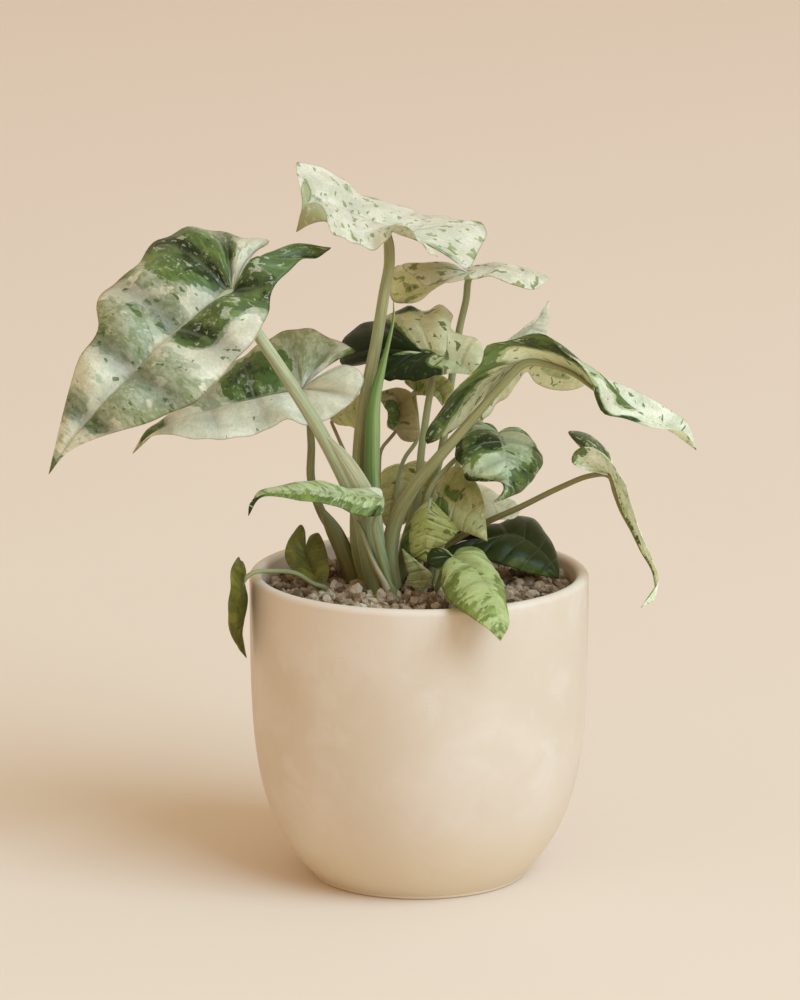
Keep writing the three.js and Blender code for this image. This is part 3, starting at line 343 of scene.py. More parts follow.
# The looks of each leaf. tone runs from 0, cream, over 0.35, mint, and 0.55, leaf green, to 1,
# nearly black green; olive shifts a leaf to the dull yellow of old age; veins is the number of
# side veins in each half, and quilt the height of the puffs between them; a turned leaf shows
# its underside on top. Each patch has a side, its middle along and across, its reach along and
# across, and its tone.
# A leaf's crease strength is painted shade in the creases between the puffs and painted light on the puffs; it
# changes no shape.
L, R = "left", "right"
PLAIN_LOOK = dict(
    veins=6, olive=0.0, sparks=0.6, vein_depth=0.3, painted_crease_shade=0.15, turned=False, cream=(0.60, 0.57, 0.46),
    mint=(0.27, 0.30, 0.17), lime=(0.15, 0.20, 0.05), green=(0.085, 0.125, 0.028), dark=(0.022, 0.036, 0.008),
    patches=[])
LOOKS = {
    "big_left": dict(tone=0.19, veins=7, streaks=0.32, flecks=0.85, sparks=0.9, quilt=6.5, painted_crease_shade=1.0,
        cream=(0.56, 0.53, 0.43), mint=(0.22, 0.25, 0.14), lime=(0.14, 0.19, 0.05),
        green=(0.075, 0.11, 0.03), patches=[
            (R, 0.4, 0.55, 0.125, 0.6, 0.78), (R, 0.47, 0.75, 0.05, 0.2, 0.58), (R, 0.3, 0.9, 0.07, 0.3, 0.46),
            (R, 0.27, 0.5, 0.03, 0.2, 0.62), (R, 0.53, 0.97, 0.022, 0.12, 0.58), (R, 0.535, 0.62, 0.02, 0.2, 0.36),
            (R, 0.57, 0.2, 0.04, 0.3, 0.34), (R, 0.66, 0.55, 0.07, 0.65, 0.38), (R, 0.605, 0.45, 0.012, 0.14, 0.56),
            (R, 0.595, 0.1, 0.012, 0.08, 0.62), (R, 0.7, 0.9, 0.03, 0.2, 0.5), (R, 0.845, 0.6, 0.035, 0.5, 0.4),
            (L, 0.38, 0.6, 0.14, 0.75, 0.72), (L, 0.5, 0.25, 0.04, 0.3, 0.7), (L, 0.565, 0.33, 0.05, 0.36, 0.74),
            (L, 0.535, 0.68, 0.025, 0.14, 0.52), (L, 0.22, 0.6, 0.08, 0.7, 0.62), (L, 0.05, 0.5, 0.06, 0.9, 0.15),
            (L, 0.55, 0.88, 0.08, 0.2, 0.12), (L, 0.76, 0.5, 0.13, 0.8, 0.37), (L, 0.86, 0.45, 0.02, 0.5, 0.5),
            (L, 0.985, 0.5, 0.03, 1.2, 0.48), (R, 0.985, 0.5, 0.03, 1.2, 0.5)]),
    "left_low": dict(tone=0.08, veins=7, olive=0.05, streaks=0.22, flecks=0.5, quilt=1.6, painted_crease_shade=0.4,
        cream=(0.62, 0.59, 0.48), mint=(0.25, 0.27, 0.13), patches=[
            (R, 0.4, 0.6, 0.17, 0.6, 0.36), (R, 0.54, 0.95, 0.09, 0.25, 0.4), (R, 0.565, 0.38, 0.135, 0.5, 0.71),
            (R, 0.7, 0.1, 0.05, 0.2, 0.3), (R, 0.2, 0.85, 0.05, 0.5, 0.55), (R, 0.72, 0.6, 0.07, 0.6, 0.3),
            (L, 0.9, 0.25, 0.05, 0.45, 0.66), (R, 0.91, 0.4, 0.06, 0.8, 0.62), (L, 0.985, 0.5, 0.04, 1.2, 0.5)]),
    "top_white": dict(tone=0.09, streaks=0.18, flecks=1.33, vein_depth=0.12, quilt=0.9, cream=(0.6, 0.56, 0.46),
        mint=(0.43, 0.45, 0.31), lime=(0.28, 0.32, 0.13), green=(0.22, 0.25, 0.11),
        dark=(0.36, 0.34, 0.18), patches=[
            (R, 0.15, 0.55, 0.045, 0.42, 0.54), (R, 0.6, 0.88, 0.02, 0.12, 0.56), (R, 0.69, 0.62, 0.02, 0.14, 0.5),
            (L, 0.5, 0.8, 0.05, 0.5, 0.3), (R, 0.36, 0.96, 0.03, 0.08, 0.56), (R, 0.93, 0.35, 0.1, 0.45, 0.95),
            (L, 0.91, 0.55, 0.11, 0.75, 0.95)]),
    "top_right": dict(tone=0.08, streaks=0.2, flecks=1.35, vein_depth=0.12, quilt=0.9, cream=(0.6, 0.555, 0.445),
        mint=(0.48, 0.46, 0.27), lime=(0.25, 0.27, 0.1), green=(0.19, 0.21, 0.08), patches=[
            (L, 0.38, 0.62, 0.12, 0.55, 0.28), (L, 0.4, 0.75, 0.012, 0.12, 0.72), (R, 0.25, 0.4, 0.12, 0.6, 0.3)]),
    "centre_dark": dict(tone=0.15, veins=7, olive=0.2, streaks=0.26, flecks=1.3, sparks=0.1, vein_depth=0.12,
        quilt=1.2, cream=(0.54, 0.51, 0.35), mint=(0.34, 0.35, 0.18), lime=(0.09, 0.13, 0.03),
        dark=(0.009, 0.019, 0.002), patches=[
            (L, 0.2, 0.6, 0.29, 1.2, 1.05), (L, 0.54, 0.95, 0.05, 0.2, 0.8), (R, 0.3, 0.5, 0.4, 1.2, 1.05),
            (R, 0.7, 1.0, 0.12, 0.55, 1.05), (R, 0.8, 0.3, 0.17, 0.42, 0.43), (R, 0.11, 0.5, 0.1, 1.0, 0.42),
            (R, 0.93, 0.6, 0.09, 1.0, 0.42)]),
    "right_big": dict(tone=0.15, veins=9, streaks=0.26, flecks=1.2, quilt=1.2, cream=(0.64, 0.63, 0.5),
        mint=(0.34, 0.37, 0.19), green=(0.1, 0.145, 0.035), patches=[
            (R, 0.31, 0.85, 0.09, 0.55, 0.8), (R, 0.41, 0.7, 0.05, 0.35, 0.62), (R, 0.5, 0.95, 0.07, 0.3, 0.62),
            (R, 0.585, 0.85, 0.09, 0.42, 0.76), (R, 0.64, 0.45, 0.05, 0.3, 0.62), (R, 0.72, 0.6, 0.06, 0.5, 0.56),
            (R, 0.84, 0.45, 0.16, 1.0, 0.1), (L, 0.84, 0.45, 0.16, 1.0, 0.1), (R, 0.76, 0.25, 0.035, 0.3, 0.56),
            (R, 0.715, 0.35, 0.05, 0.35, 0.72), (R, 0.77, 0.4, 0.03, 0.25, 0.6), (R, 0.77, 0.97, 0.05, 0.1, 0.74),
            (R, 0.84, 0.9, 0.03, 0.16, 0.74), (R, 0.66, 0.2, 0.03, 0.25, 0.6), (R, 0.6, 0.5, 0.035, 0.22, 0.8),
            (L, 0.52, 0.5, 0.05, 0.2, 0.36), (L, 0.3, 0.6, 0.05, 0.25, 0.4)]),
    "right_back": dict(tone=0.1, streaks=0.2, flecks=0.3, quilt=0.3, patches=[
            (L, 0.5, 0.6, 0.2, 0.6, 0.3)]),
    "mid_right": dict(tone=0.4, streaks=0.42, flecks=0.3, sparks=0.8, vein_depth=0.7, quilt=2.4, painted_crease_shade=0.5,
        cream=(0.5, 0.56, 0.4), mint=(0.29, 0.34, 0.19), green=(0.07, 0.11, 0.025), patches=[
            (R, 0.44, 0.62, 0.13, 0.5, 0.64), (R, 0.5, 0.22, 0.1, 0.32, 0.8), (R, 0.4, 0.97, 0.17, 0.18, 0.95),
            (R, 0.14, 0.6, 0.12, 0.7, 0.5), (R, 0.68, 0.42, 0.09, 0.42, 0.14), (R, 0.73, 0.97, 0.12, 0.14, 0.8),
            (L, 0.18, 0.7, 0.14, 0.5, 0.54), (L, 0.44, 0.35, 0.13, 0.35, 0.24), (L, 0.58, 0.85, 0.2, 0.25, 0.6),
            (L, 0.72, 0.15, 0.08, 0.2, 0.22), (L, 0.78, 0.6, 0.13, 0.6, 0.62), (R, 0.93, 0.5, 0.08, 1.2, 0.78)]),
    "right_droop": dict(turned=True, tone=0.24, veins=9, streaks=0.36, flecks=1.1, quilt=0.6,
        cream=(0.92, 0.95, 0.84), mint=(0.52, 0.62, 0.36), green=(0.11, 0.15, 0.03), patches=[
            (L, 0.24, 0.6, 0.17, 0.9, 0.8), (R, 0.23, 0.92, 0.06, 0.3, 0.58), (R, 0.75, 0.1, 0.3, 0.14, 0.5),
            (L, 0.75, 0.1, 0.3, 0.14, 0.56), (L, 0.97, 0.5, 0.06, 1.2, 0.5)]),
    "narrow_left": dict(tone=0.46, streaks=0.22, flecks=0.3, sparks=0.7, vein_depth=0.2, quilt=0.4,
        mint=(0.38, 0.42, 0.18), lime=(0.21, 0.26, 0.06), green=(0.115, 0.15, 0.03), patches=[
            (L, 0.5, 0.85, 0.5, 0.3, 0.56), (L, 0.17, 0.8, 0.06, 0.4, 0.7), (R, 0.1, 0.5, 0.08, 0.8, 0.2),
            (L, 0.93, 0.5, 0.09, 1.2, 0.85), (R, 0.95, 0.5, 0.07, 1.2, 0.85)]),
    "green_front": dict(tone=0.47, streaks=0.24, flecks=0.0, sparks=0.25, vein_depth=0.75, quilt=2.0, painted_crease_shade=0.35,
        cream=(0.5, 0.54, 0.26), mint=(0.36, 0.41, 0.16), lime=(0.22, 0.27, 0.065),
        green=(0.12, 0.155, 0.03), patches=[
            (R, 0.17, 0.55, 0.12, 0.7, 0.92), (L, 0.15, 0.5, 0.1, 0.6, 0.55), (R, 0.55, 0.95, 0.3, 0.2, 0.56),
            (R, 0.58, 0.62, 0.05, 0.3, 0.56), (L, 0.7, 0.75, 0.14, 0.3, 0.55), (L, 0.45, 0.4, 0.16, 0.4, 0.34),
            (R, 0.68, 0.3, 0.12, 0.3, 0.34), (L, 0.85, 0.4, 0.08, 0.5, 0.38), (R, 0.36, 0.5, 0.08, 0.3, 0.36)]),
    "dark_right": dict(tone=0.8, veins=8, olive=0.1, streaks=0.08, flecks=0.0, sparks=0.0, vein_depth=0.1,
        quilt=1.8, lime=(0.1, 0.13, 0.025), green=(0.06, 0.085, 0.015), dark=(0.028, 0.04, 0.006), patches=[
            (L, 0.65, 0.95, 0.25, 0.2, 0.6), (R, 0.8, 0.85, 0.15, 0.3, 0.62)]),
    "outer_left": dict(tone=0.6, olive=0.8, streaks=0.1, flecks=0.1, sparks=0.1, vein_depth=0.1, quilt=0.5,
        lime=(0.17, 0.16, 0.035), green=(0.1, 0.1, 0.02)),
    "small_left": dict(tone=0.57, olive=0.7, streaks=0.12, flecks=0.2, sparks=0.4, vein_depth=0.15, quilt=0.4,
        lime=(0.2, 0.19, 0.05), green=(0.12, 0.12, 0.03)),
    "back_pink": dict(tone=0.3, olive=0.35, streaks=0.2, flecks=1.2, quilt=0.2, cream=(0.46, 0.39, 0.27),
        mint=(0.36, 0.31, 0.19), patches=[
            (L, 0.5, 0.6, 0.3, 0.6, 0.6)]),
    "back_left": dict(tone=0.34, olive=0.7, streaks=0.14, flecks=0.8, quilt=0.2, mint=(0.44, 0.42, 0.2)),
    "back_centre": dict(tone=0.44, olive=0.5, streaks=0.24, flecks=0.8, quilt=0.2, mint=(0.33, 0.33, 0.12)),
    "back_round": dict(tone=0.34, olive=0.6, streaks=0.14, flecks=1.0, quilt=0.3, mint=(0.42, 0.4, 0.18)),
    "spotted": dict(tone=0.34, olive=0.5, streaks=0.18, flecks=1.3, sparks=0.2, vein_depth=0.1, quilt=0.3,
        painted_crease_shade=0.05, cream=(0.48, 0.47, 0.24), mint=(0.29, 0.3, 0.1), patches=[
            (R, 0.6, 0.85, 0.25, 0.3, 0.66), (L, 0.8, 0.2, 0.2, 0.3, 0.25)]),
    "cream_fold": dict(tone=0.28, olive=0.4, streaks=0.22, flecks=0.9, vein_depth=0.15, quilt=0.3,
        cream=(0.58, 0.56, 0.36), mint=(0.32, 0.33, 0.14), patches=[
            (R, 0.35, 0.6, 0.12, 0.6, 0.58), (L, 0.45, 0.2, 0.15, 0.25, 0.5)]),
    "pale_back": dict(tone=0.04, streaks=0.1, flecks=0.05, quilt=0.2, cream=(0.88, 0.88, 0.68)),
    "old_sheath": dict(tone=0.36, olive=0.7, streaks=0.14, flecks=0.1, quilt=0.1),
}

# Where the tone turns from cream to mint, to green and to dark, and how far noise moves it
MINT_STEP = (0.21, 0.31)
GREEN_STEP = (0.46, 0.52)
DARK_STEP = (0.62, 0.78)
CLOUD_SWAY = 1.9
STREAK_SWAY = 1.7
# How much painted light brightens the puffs and painted shade darkens the creases between them
PUFF_LIGHT_PAINT = 0.16
CREASE_SHADE_PAINT = 0.42
MARGIN_STEP = (0.978, 0.992)
MOTTLING = ((0.88, 1.12), (0.89, 1.11), (0.86, 1.12))

# Colours that others are multiplied by, and rust
DULL_CREAM = (0.88, 0.88, 0.82)
BRIGHT_CREAM = (1.12, 1.09, 1.07)
BROWN_MARGIN = (0.45, 0.36, 0.26)
AGEING = (0.96, 0.88, 0.52)
UNDERSIDE = (1.20, 1.26, 1.20)
BAND_TINT = (0.30, 0.50, 0.22)
RUST = (0.12, 0.085, 0.025)

# Stalk colours at foot and head; a rolled leaf's dark band lies at an angle round it
PLAIN_STALK = ((0.20, 0.20, 0.075), (0.34, 0.34, 0.17))
STALKS = {
    "top_white": ((0.23, 0.22, 0.085), (0.38, 0.36, 0.18)),
    "big_left": ((0.30, 0.30, 0.16), (0.46, 0.46, 0.27)),
    "left_low": ((0.13, 0.11, 0.03), (0.24, 0.22, 0.09)),
    "right_big": ((0.24, 0.22, 0.09), (0.34, 0.32, 0.15)),
    "right_droop": ((0.22, 0.19, 0.08), (0.28, 0.25, 0.10)),
    "back_pink": ((0.34, 0.24, 0.15), (0.30, 0.22, 0.13)),
    "back_left": ((0.36, 0.27, 0.18), (0.34, 0.25, 0.16)),
}
STRAND_COLOURS = ((0.30, 0.28, 0.12), (0.42, 0.36, 0.22))
STUB_COLOURS = ((0.12, 0.13, 0.04), (0.20, 0.21, 0.08))
ROLLED_COLOURS = ((0.24, 0.29, 0.11), (0.30, 0.36, 0.14))
ROLLED_BAND = 0.75
BAND_ANGLE = 3.6

# The ceramic yellows below this height, and the paper reddens between these depths, in metres
YELLOW_FOOT = 0.055
PAPER_CHANGE = (0.2, 2.6)

# The paper sheet, the lamp, the air and the camera, in metres, watts and degrees
FLOOR_FRONT, BEND_START, BEND_RADIUS, WALL_TOP, HALF_WIDTH = -3.2, 3.4, 1.0, 4.2, 4.0
LAMP_PLACE = (3.76, -3.27, 4.28)
LAMP_TARGET = (0.0, 0.0, 0.10)
LAMP_SIZE = 4.9
LAMP_WATTS = 480.0
LAMP_COLOUR = (0.53, 0.787, 1.0)
AIR_COLOUR = (0.71, 0.59, 0.40)
CAMERA_PLACE = (0.0, -2.6, 0.767)
CAMERA_DOWN = 12.71
CAMERA_TURN = 0.198
CAMERA_LENS = 204.12
CAMERA_SENSOR = 36.0


def through(points, shares=None):
    """Points on a smooth curve through the given ones.

    Between two given points runs a cubic whose slopes come from its neighbours, weighed by the
    square root of their distances; past either end the first or last step is repeated. shares
    are parts of the curve's length; without them the dense curve and its running length come back.
    """
    given = np.asarray(points, float)
    ends = np.vstack([2 * given[0] - given[1], given, 2 * given[-1] - given[-2]])
    p0, p1, p2, p3 = ends[:-3], ends[1:-2], ends[2:-1], ends[3:]
    d0, d1, d2 = (np.sqrt(np.linalg.norm(b - a, axis=1))[:, None] for a, b in ((p0, p1), (p1, p2), (p2, p3)))
    m1 = ((p1 - p0) / d0 - (p2 - p0) / (d0 + d1) + (p2 - p1) / d1) * d1
    m2 = ((p2 - p1) / d1 - (p3 - p1) / (d1 + d2) + (p3 - p2) / d2) * d1
    w = (np.arange(CURVE_STEPS) / CURVE_STEPS)[None, :, None]
    a, b, c, d = (v[:, None, :] for v in (p1, m1, -3 * p1 + 3 * p2 - 2 * m1 - m2, 2 * p1 - 2 * p2 + m1 + m2))
    dense = np.vstack([(a + b * w + c * w ** 2 + d * w ** 3).reshape(-1, 3), given[-1:]])
    lengths = running_length(dense)
    if shares is None:
        return dense, lengths
    at = np.clip(shares, 0, 1) * lengths[-1]
    return np.stack([np.interp(at, lengths, dense[:, k]) for k in range(3)], axis=1)


def running_length(points):
    return np.concatenate([[0], np.cumsum(np.linalg.norm(np.diff(points, axis=0), axis=1))])


def unit(vectors):
    return vectors / np.maximum(np.linalg.norm(vectors, axis=-1, keepdims=True), 1e-12)


def smooth_step(value, low, high):
    share = np.clip((value - low) / (high - low), 0, 1)
    return share * share * (3 - 2 * share)


def rolling(points, wavelength, seed):
    """A smooth random height from about -1 to 1 at each point: the sum of sine waves of one
    wavelength that run in random directions, over the root of half their number."""
    draw = np.random.default_rng(seed)
    directions = unit(draw.normal(size=(ROLLING_WAVES, 3))) * draw.uniform(0.7, 1.3, (ROLLING_WAVES, 1))
    phases = draw.uniform(0, 2 * np.pi, ROLLING_WAVES)
    return np.sin(points @ directions.T * (2 * np.pi / wavelength) + phases).sum(axis=1) / np.sqrt(2 * ROLLING_WAVES)


def vein_ends(leaf, side, rows=VEIN_ROWS):
    """Where each row of one half starts on the rib and ends on the margin.

    The first rows all start at the stalk and fan out; one row ends at the margin's sharpest
    corner, the point of the back lobe, and the rows are evenly spaced on either side of it.
    """
    corners = np.array([leaf["rib"][0], *leaf[side], leaf["rib"][-1]], float)
    _, lengths = through(corners)
    steps = unit(np.diff(corners, axis=0))
    sharpest = 1 + np.argmin((steps[:-1] * steps[1:]).sum(1))
    lobe = lengths[sharpest * CURVE_STEPS] / lengths[-1]
    row = np.arange(rows + 1)
    lobe_row = max(1, round(lobe * rows))
    share = np.where(row < lobe_row, lobe * row / lobe_row, lobe + (1 - lobe) * (row - lobe_row) / (rows - lobe_row))
    return through(leaf["rib"], (row / rows - leaf["fan"]) / (1 - leaf["fan"])), through(corners, share)


def facings(starts, ends, turn):
    """The upper face's direction at each row: the margin's step across the row, averaged over
    a share of the rows on either side."""
    rows = len(starts) - 1
    reach = rows // FACING_REACH
    across = np.zeros_like(ends)
    across[1:-1] = np.cross(ends[2:] - ends[:-2], (ends - starts)[1:-1])
    total = np.vstack([np.zeros(3), np.cumsum(across, axis=0)])
    row = np.arange(rows + 1)
    low, high = np.maximum(row - reach, 1), np.minimum(row + reach, rows - 1)
    return turn * unit(total[high + 1] - total[low])


def half_blade(leaf, look, side, turn):
    """One half as rows from rib to margin, their tone, and their place in centimetres.

    A row is the straight line between its ends, lifted towards the upper face by a parabola of
    height cup times its width, by puffs between the sunken side veins, and near the margin by
    slow waves and a fine ripple. The tone changes towards that of each patch within its reach.
    """
    starts, ends = vein_ends(leaf, side)
    along = (np.arange(VEIN_ROWS + 1) / VEIN_ROWS)[:, None]
    across = np.linspace(0, 1, VEIN_COLUMNS + 1)[None, :]
    width = np.linalg.norm(ends - starts, axis=1)[:, None]
    flat = starts[:, None] + (ends - starts)[:, None] * across[..., None]
    calm = np.sin(np.pi * along)
    height, count = leaf["wave"]
    wave = height * calm * np.sin(2 * np.pi * count * along) * across ** 2
    ripples = RIPPLES_PER_WAVE * count + MORE_RIPPLES
    ripple = RIPPLE_HEIGHT * width * calm * np.sin(2 * np.pi * ripples * along + turn) * across ** 4
    puffs = (1 - (2 * ((along * look["veins"]) % 1) - 1) ** 2) * np.sin(np.pi * across ** PUFF_POWER)
    unevenness = rolling(flat.reshape(-1, 3), PUFF_WAVELENGTH, PUFF_SEED).reshape(puffs.shape)
    puffs = puffs * (PUFF_MEAN + PUFF_CHANGE * unevenness)
    quilt = look["quilt"] * np.minimum(width / QUILTED_WIDTH, 1) * puffs
    lift = 4 * leaf["cup"][0 if turn > 0 else 1] * width * across * (1 - across) + wave + ripple + quilt
    points = flat + facings(starts, ends, turn)[:, None] * lift[..., None]
    tone = np.full(along.shape[:1] + across.shape[1:], look["tone"])
    for patch_side, middle, centre, reach, spread, patch_tone in look["patches"]:
        if patch_side == side:
            away = np.hypot((along - middle) / reach, (across - centre) / spread)
            tone = tone + (patch_tone - tone) * (1 - smooth_step(away, *PATCH_EDGE))
    place = np.stack(np.broadcast_arrays(along * look["length"], turn * across * width / 10), axis=-1)
    return points, tone, place


def welded(points, quads):
    """Joins points that lie in one place and drops the triangles this squeezes flat. Returns the
    joined points, their triangles, the triangles of the first numbering, and where each is from."""
    cells = np.round(points * WELD_CELLS).astype(np.int64)
    _, first, number = np.unique(cells, axis=0, return_index=True, return_inverse=True)
    triangles = np.concatenate([quads[:, [0, 1, 2]], quads[:, [0, 2, 3]]])
    joined = number.reshape(-1)[triangles]
    whole = (joined != np.roll(joined, -1, axis=1)).all(axis=1)
    return points[first], joined[whole], triangles[whole], first


def grid_quads(rows, columns, wraps=False):
    """Corner numbers of a grid's quads, row by row; a grid that wraps joins its last column to
    its first."""
    row, column = np.meshgrid(np.arange(rows - 1), np.arange(columns if wraps else columns - 1), indexing="ij")
    near, far = row * columns + column, row * columns + (column + 1) % columns
    return np.stack([near, far, far + columns, near + columns], axis=-1).reshape(-1, 4)


def point_normals(points, triangles):
    normals = np.zeros_like(points)
    a, b, c = (points[triangles[:, k]] for k in range(3))
    facing = np.cross(b - a, c - a)
    for k in range(3):
        np.add.at(normals, triangles[:, k], facing)
    return unit(normals)


def thickened(points, triangles, sources, first, half):
    """A closed blade from a sheet: its points pushed out and in along their normals by half its
    thickness, with a wall round the open edge."""
    count = len(points)
    push = point_normals(points, triangles) * half[:, None]
    edges = triangles[:, [0, 1, 1, 2, 2, 0]].reshape(-1, 2)
    keys = edges[:, 0] * count + edges[:, 1]
    start, end = edges[~np.isin(keys, edges[:, 1] * count + edges[:, 0])].T
    wall = np.concatenate([np.stack([start, count + start, end], 1), np.stack([end, count + start, count + end], 1)])
    faces = np.concatenate([triangles, count + triangles[:, ::-1], wall])
    corner_sources = np.concatenate([sources, sources[:, ::-1], first[wall % count]])
    return np.vstack([points + push, points - push]), faces, corner_sources


def part(points, faces, blade_uv, grain_uv, tone=None, under=None):
    """What put_piece makes a part of; tone and under are 0 where they aren't given."""
    plain = np.zeros(len(points))
    return dict(points=points, faces=faces, blade_uv=blade_uv, grain_uv=grain_uv,
                tone=plain if tone is None else tone, under=plain if under is None else under)


def blade(leaf, look):
    """Both halves as one grid from the left margin over the rib to the right one, joined where
    rows meet and thickened; the blade thins towards its margin."""
    halves = zip(half_blade(leaf, look, "left", 1), half_blade(leaf, look, "right", -1))
    points, tone, place = (np.concatenate([left[:, :0:-1], right], axis=1) for left, right in halves)
    rows, columns = points.shape[:2]
    along, across = np.meshgrid(np.arange(rows) / VEIN_ROWS, np.linspace(0, 1, columns), indexing="ij")
    sheet, triangles, sources, first = welded(points.reshape(-1, 3), grid_quads(rows, columns))
    rib_share = np.abs(2 * across.ravel() - 1)[first]
    half = BLADE_HALF + (MARGIN_HALF - BLADE_HALF) * smooth_step(rib_share, *THINNING)
    solid, faces, corners = thickened(sheet, triangles, sources, first, half)
    sides = [1.0, 0.0] if look["turned"] else [0.0, 1.0]
    return part(
        solid, faces, np.stack([along.ravel(), across.ravel()], axis=1)[corners], place.reshape(-1, 2)[corners],
        np.tile(tone.ravel()[first], 2), np.repeat(sides, len(sheet)))


def carried_frames(centres):
    """A direction square to the path at each ring, turned as little as possible from ring to
    ring, and the path's own direction."""
    tangents = unit(np.gradient(centres, axis=0))
    start = np.cross(tangents[0], (0.0, -1.0, 0.0))
    normals = [unit(start if np.linalg.norm(start) > 0.1 else np.cross(tangents[0], (1.0, 0.0, 0.0)))]
    for tangent in tangents[1:]:
        normals.append(unit(normals[-1] - tangent * (normals[-1] @ tangent)))
    return np.array(normals), tangents


def tube(centres, radii, ribs, groove):
    """A closed tube: at each centre a ring of the given radius, with small ribs round it and a
    groove along the side a quarter turn from the start's normal, and a pole at either end."""
    normals, tangents = carried_frames(centres)
    binormals = np.cross(tangents, normals)
    angle = 2 * np.pi * np.arange(STALK_SIDES) / STALK_SIDES
    from_groove = np.abs((angle - np.pi / 2 + np.pi) % (2 * np.pi) - np.pi)
    shape = 1 + ribs * np.cos(STALK_RIBS * angle) - groove * np.exp(-(from_groove / GROOVE_WIDTH) ** 2)
    ring = np.cos(angle)[None, :, None] * normals[:, None] + np.sin(angle)[None, :, None] * binormals[:, None]
    rings = centres[:, None] + ring * (radii[:, None] * shape)[..., None]
    foot, head = (np.repeat(centres[k:k + 1, None], STALK_SIDES, axis=1) for k in (0, -1))
    grid = np.concatenate([foot, rings, head])
    lengths = running_length(grid[:, 0])
    points, faces, corners, _ = welded(grid.reshape(-1, 3), grid_quads(len(grid), STALK_SIDES, wraps=True))
    up, turn = (value.ravel()[corners] for value in np.meshgrid(lengths, angle / (2 * np.pi), indexing="ij"))
    turn = np.where(turn.max(axis=1, keepdims=True) - turn > 0.5, turn + 1, turn)
    return part(points, faces, np.stack([up / lengths[-1], turn], axis=-1), np.stack([up / 10, turn], axis=-1))


def course_tube(course, radii, rings, ribs, groove):
    share = np.linspace(0, 1, rings)
    return tube(through(course, share), np.interp(share, np.linspace(0, 1, len(radii)), radii), ribs, groove)


def stalk(leaf):
    """The stalk stands upright in the soil, follows its course, and runs on as a ridge under
    the rib; its radius falls from foot to blade as a power of what is left of its length."""
    foot = [(*leaf["foot"], level) for level in (SOIL_TOP - STALK_DEPTH, SOIL_TOP, ROOT_LEVEL)]
    row = round(leaf["fan"] * VEIN_ROWS)
    upward = unit(sum(facings(*vein_ends(leaf, side), turn)[row] for side, turn in (("left", 1), ("right", -1))))
    foot_radius, head_radius = leaf["stalk"]
    shares, drops = np.array([RIDGE_SHARES, RIDGE_DROPS])[:, leaf["late"]:]
    head = through(leaf["rib"], shares) - drops[:, None] * head_radius * upward
    course = [*foot, *leaf["petiole"], *head]
    length = through(course)[1][-1]
    rings = max(STALK_LEAST_RINGS, round(length / RING_STEP))
    share = np.arange(rings + 1) / rings
    ridge = through(leaf["rib"])[1][-1] * RIDGE_SHARES[-1] / length
    shrink = RIDGE_END + (1 - RIDGE_END) * np.minimum(1, (1 - share) / ridge) ** RIDGE_POWER
    radii = (head_radius + (foot_radius - head_radius) * (1 - share) ** leaf["taper"]) * shrink
    return tube(through(course, share), radii, RIB_HEIGHT, GROOVE_DEPTH)


def sheath(inner, outer, bulge):
    """An open sheath: straight lines between two edges, swelled towards the front by a parabola
    of height bulge times their length, with fine lengthwise pleats."""
    share, across = (np.linspace(0, 1, count) for count in SHEATH_GRID)
    start, end = through(inner, share), through(outer, share)
    width = np.linalg.norm(end - start, axis=1)
    facing = unit(np.cross(end - start, np.gradient((start + end) / 2, axis=0)))
    facing *= -np.sign(facing[:, 1].mean())
    swell = 4 * bulge * across * (1 - across) + PLEAT_HEIGHT * np.cos(2 * np.pi * PLEATS * across)
    lift = width[:, None] * swell[None, :]
    points = start[:, None] + (end - start)[:, None] * across[:, None] + facing[:, None] * lift[..., None]
    sheet, triangles, sources, first = welded(points.reshape(-1, 3), grid_quads(*points.shape[:2]))
    solid, faces, corners = thickened(sheet, triangles, sources, first, np.full(len(sheet), SHEATH_HALF))
    up, side = (value.ravel()[corners] for value in np.meshgrid(1 - share, 0.5 * across, indexing="ij"))
    length = running_length(start)[-1] / 10
    return part(solid, faces, np.stack([up, side], axis=-1), np.stack([up * length, side], axis=-1))


def turned(profile, sides=POT_SIDES):
    """A profile of radius and height turned about the upright axis."""
    radius, height = np.asarray(profile, float).T[..., None]
    angle = 2 * np.pi * np.arange(sides) / sides
    rings = np.stack([radius * np.cos(angle), radius * np.sin(angle), np.repeat(height, sides, axis=1)], axis=-1)
    return welded(rings.reshape(-1, 3), grid_quads(len(radius), sides, wraps=True))[:2]


def pot_radius(z):
    """The outer radius falls gently from the rim and turns in fast towards the foot: the rim's
    radius less a square and a higher power of the depth below it."""
    depth = 1 - z / POT_HEIGHT
    return POT_RADIUS - WALL_TAPER * depth ** 2 - (POT_RADIUS - FOOT_RADIUS - WALL_TAPER) * depth ** BELLY_POWER


def arc(radius, height, size_out, size_up, start, end, steps=8):
    """Points on a quarter or half ellipse, from one angle in degrees to another."""
    angle = np.radians(np.linspace(start, end, steps))
    return np.stack([radius + size_out * np.cos(angle), height + size_up * np.sin(angle)], axis=1)


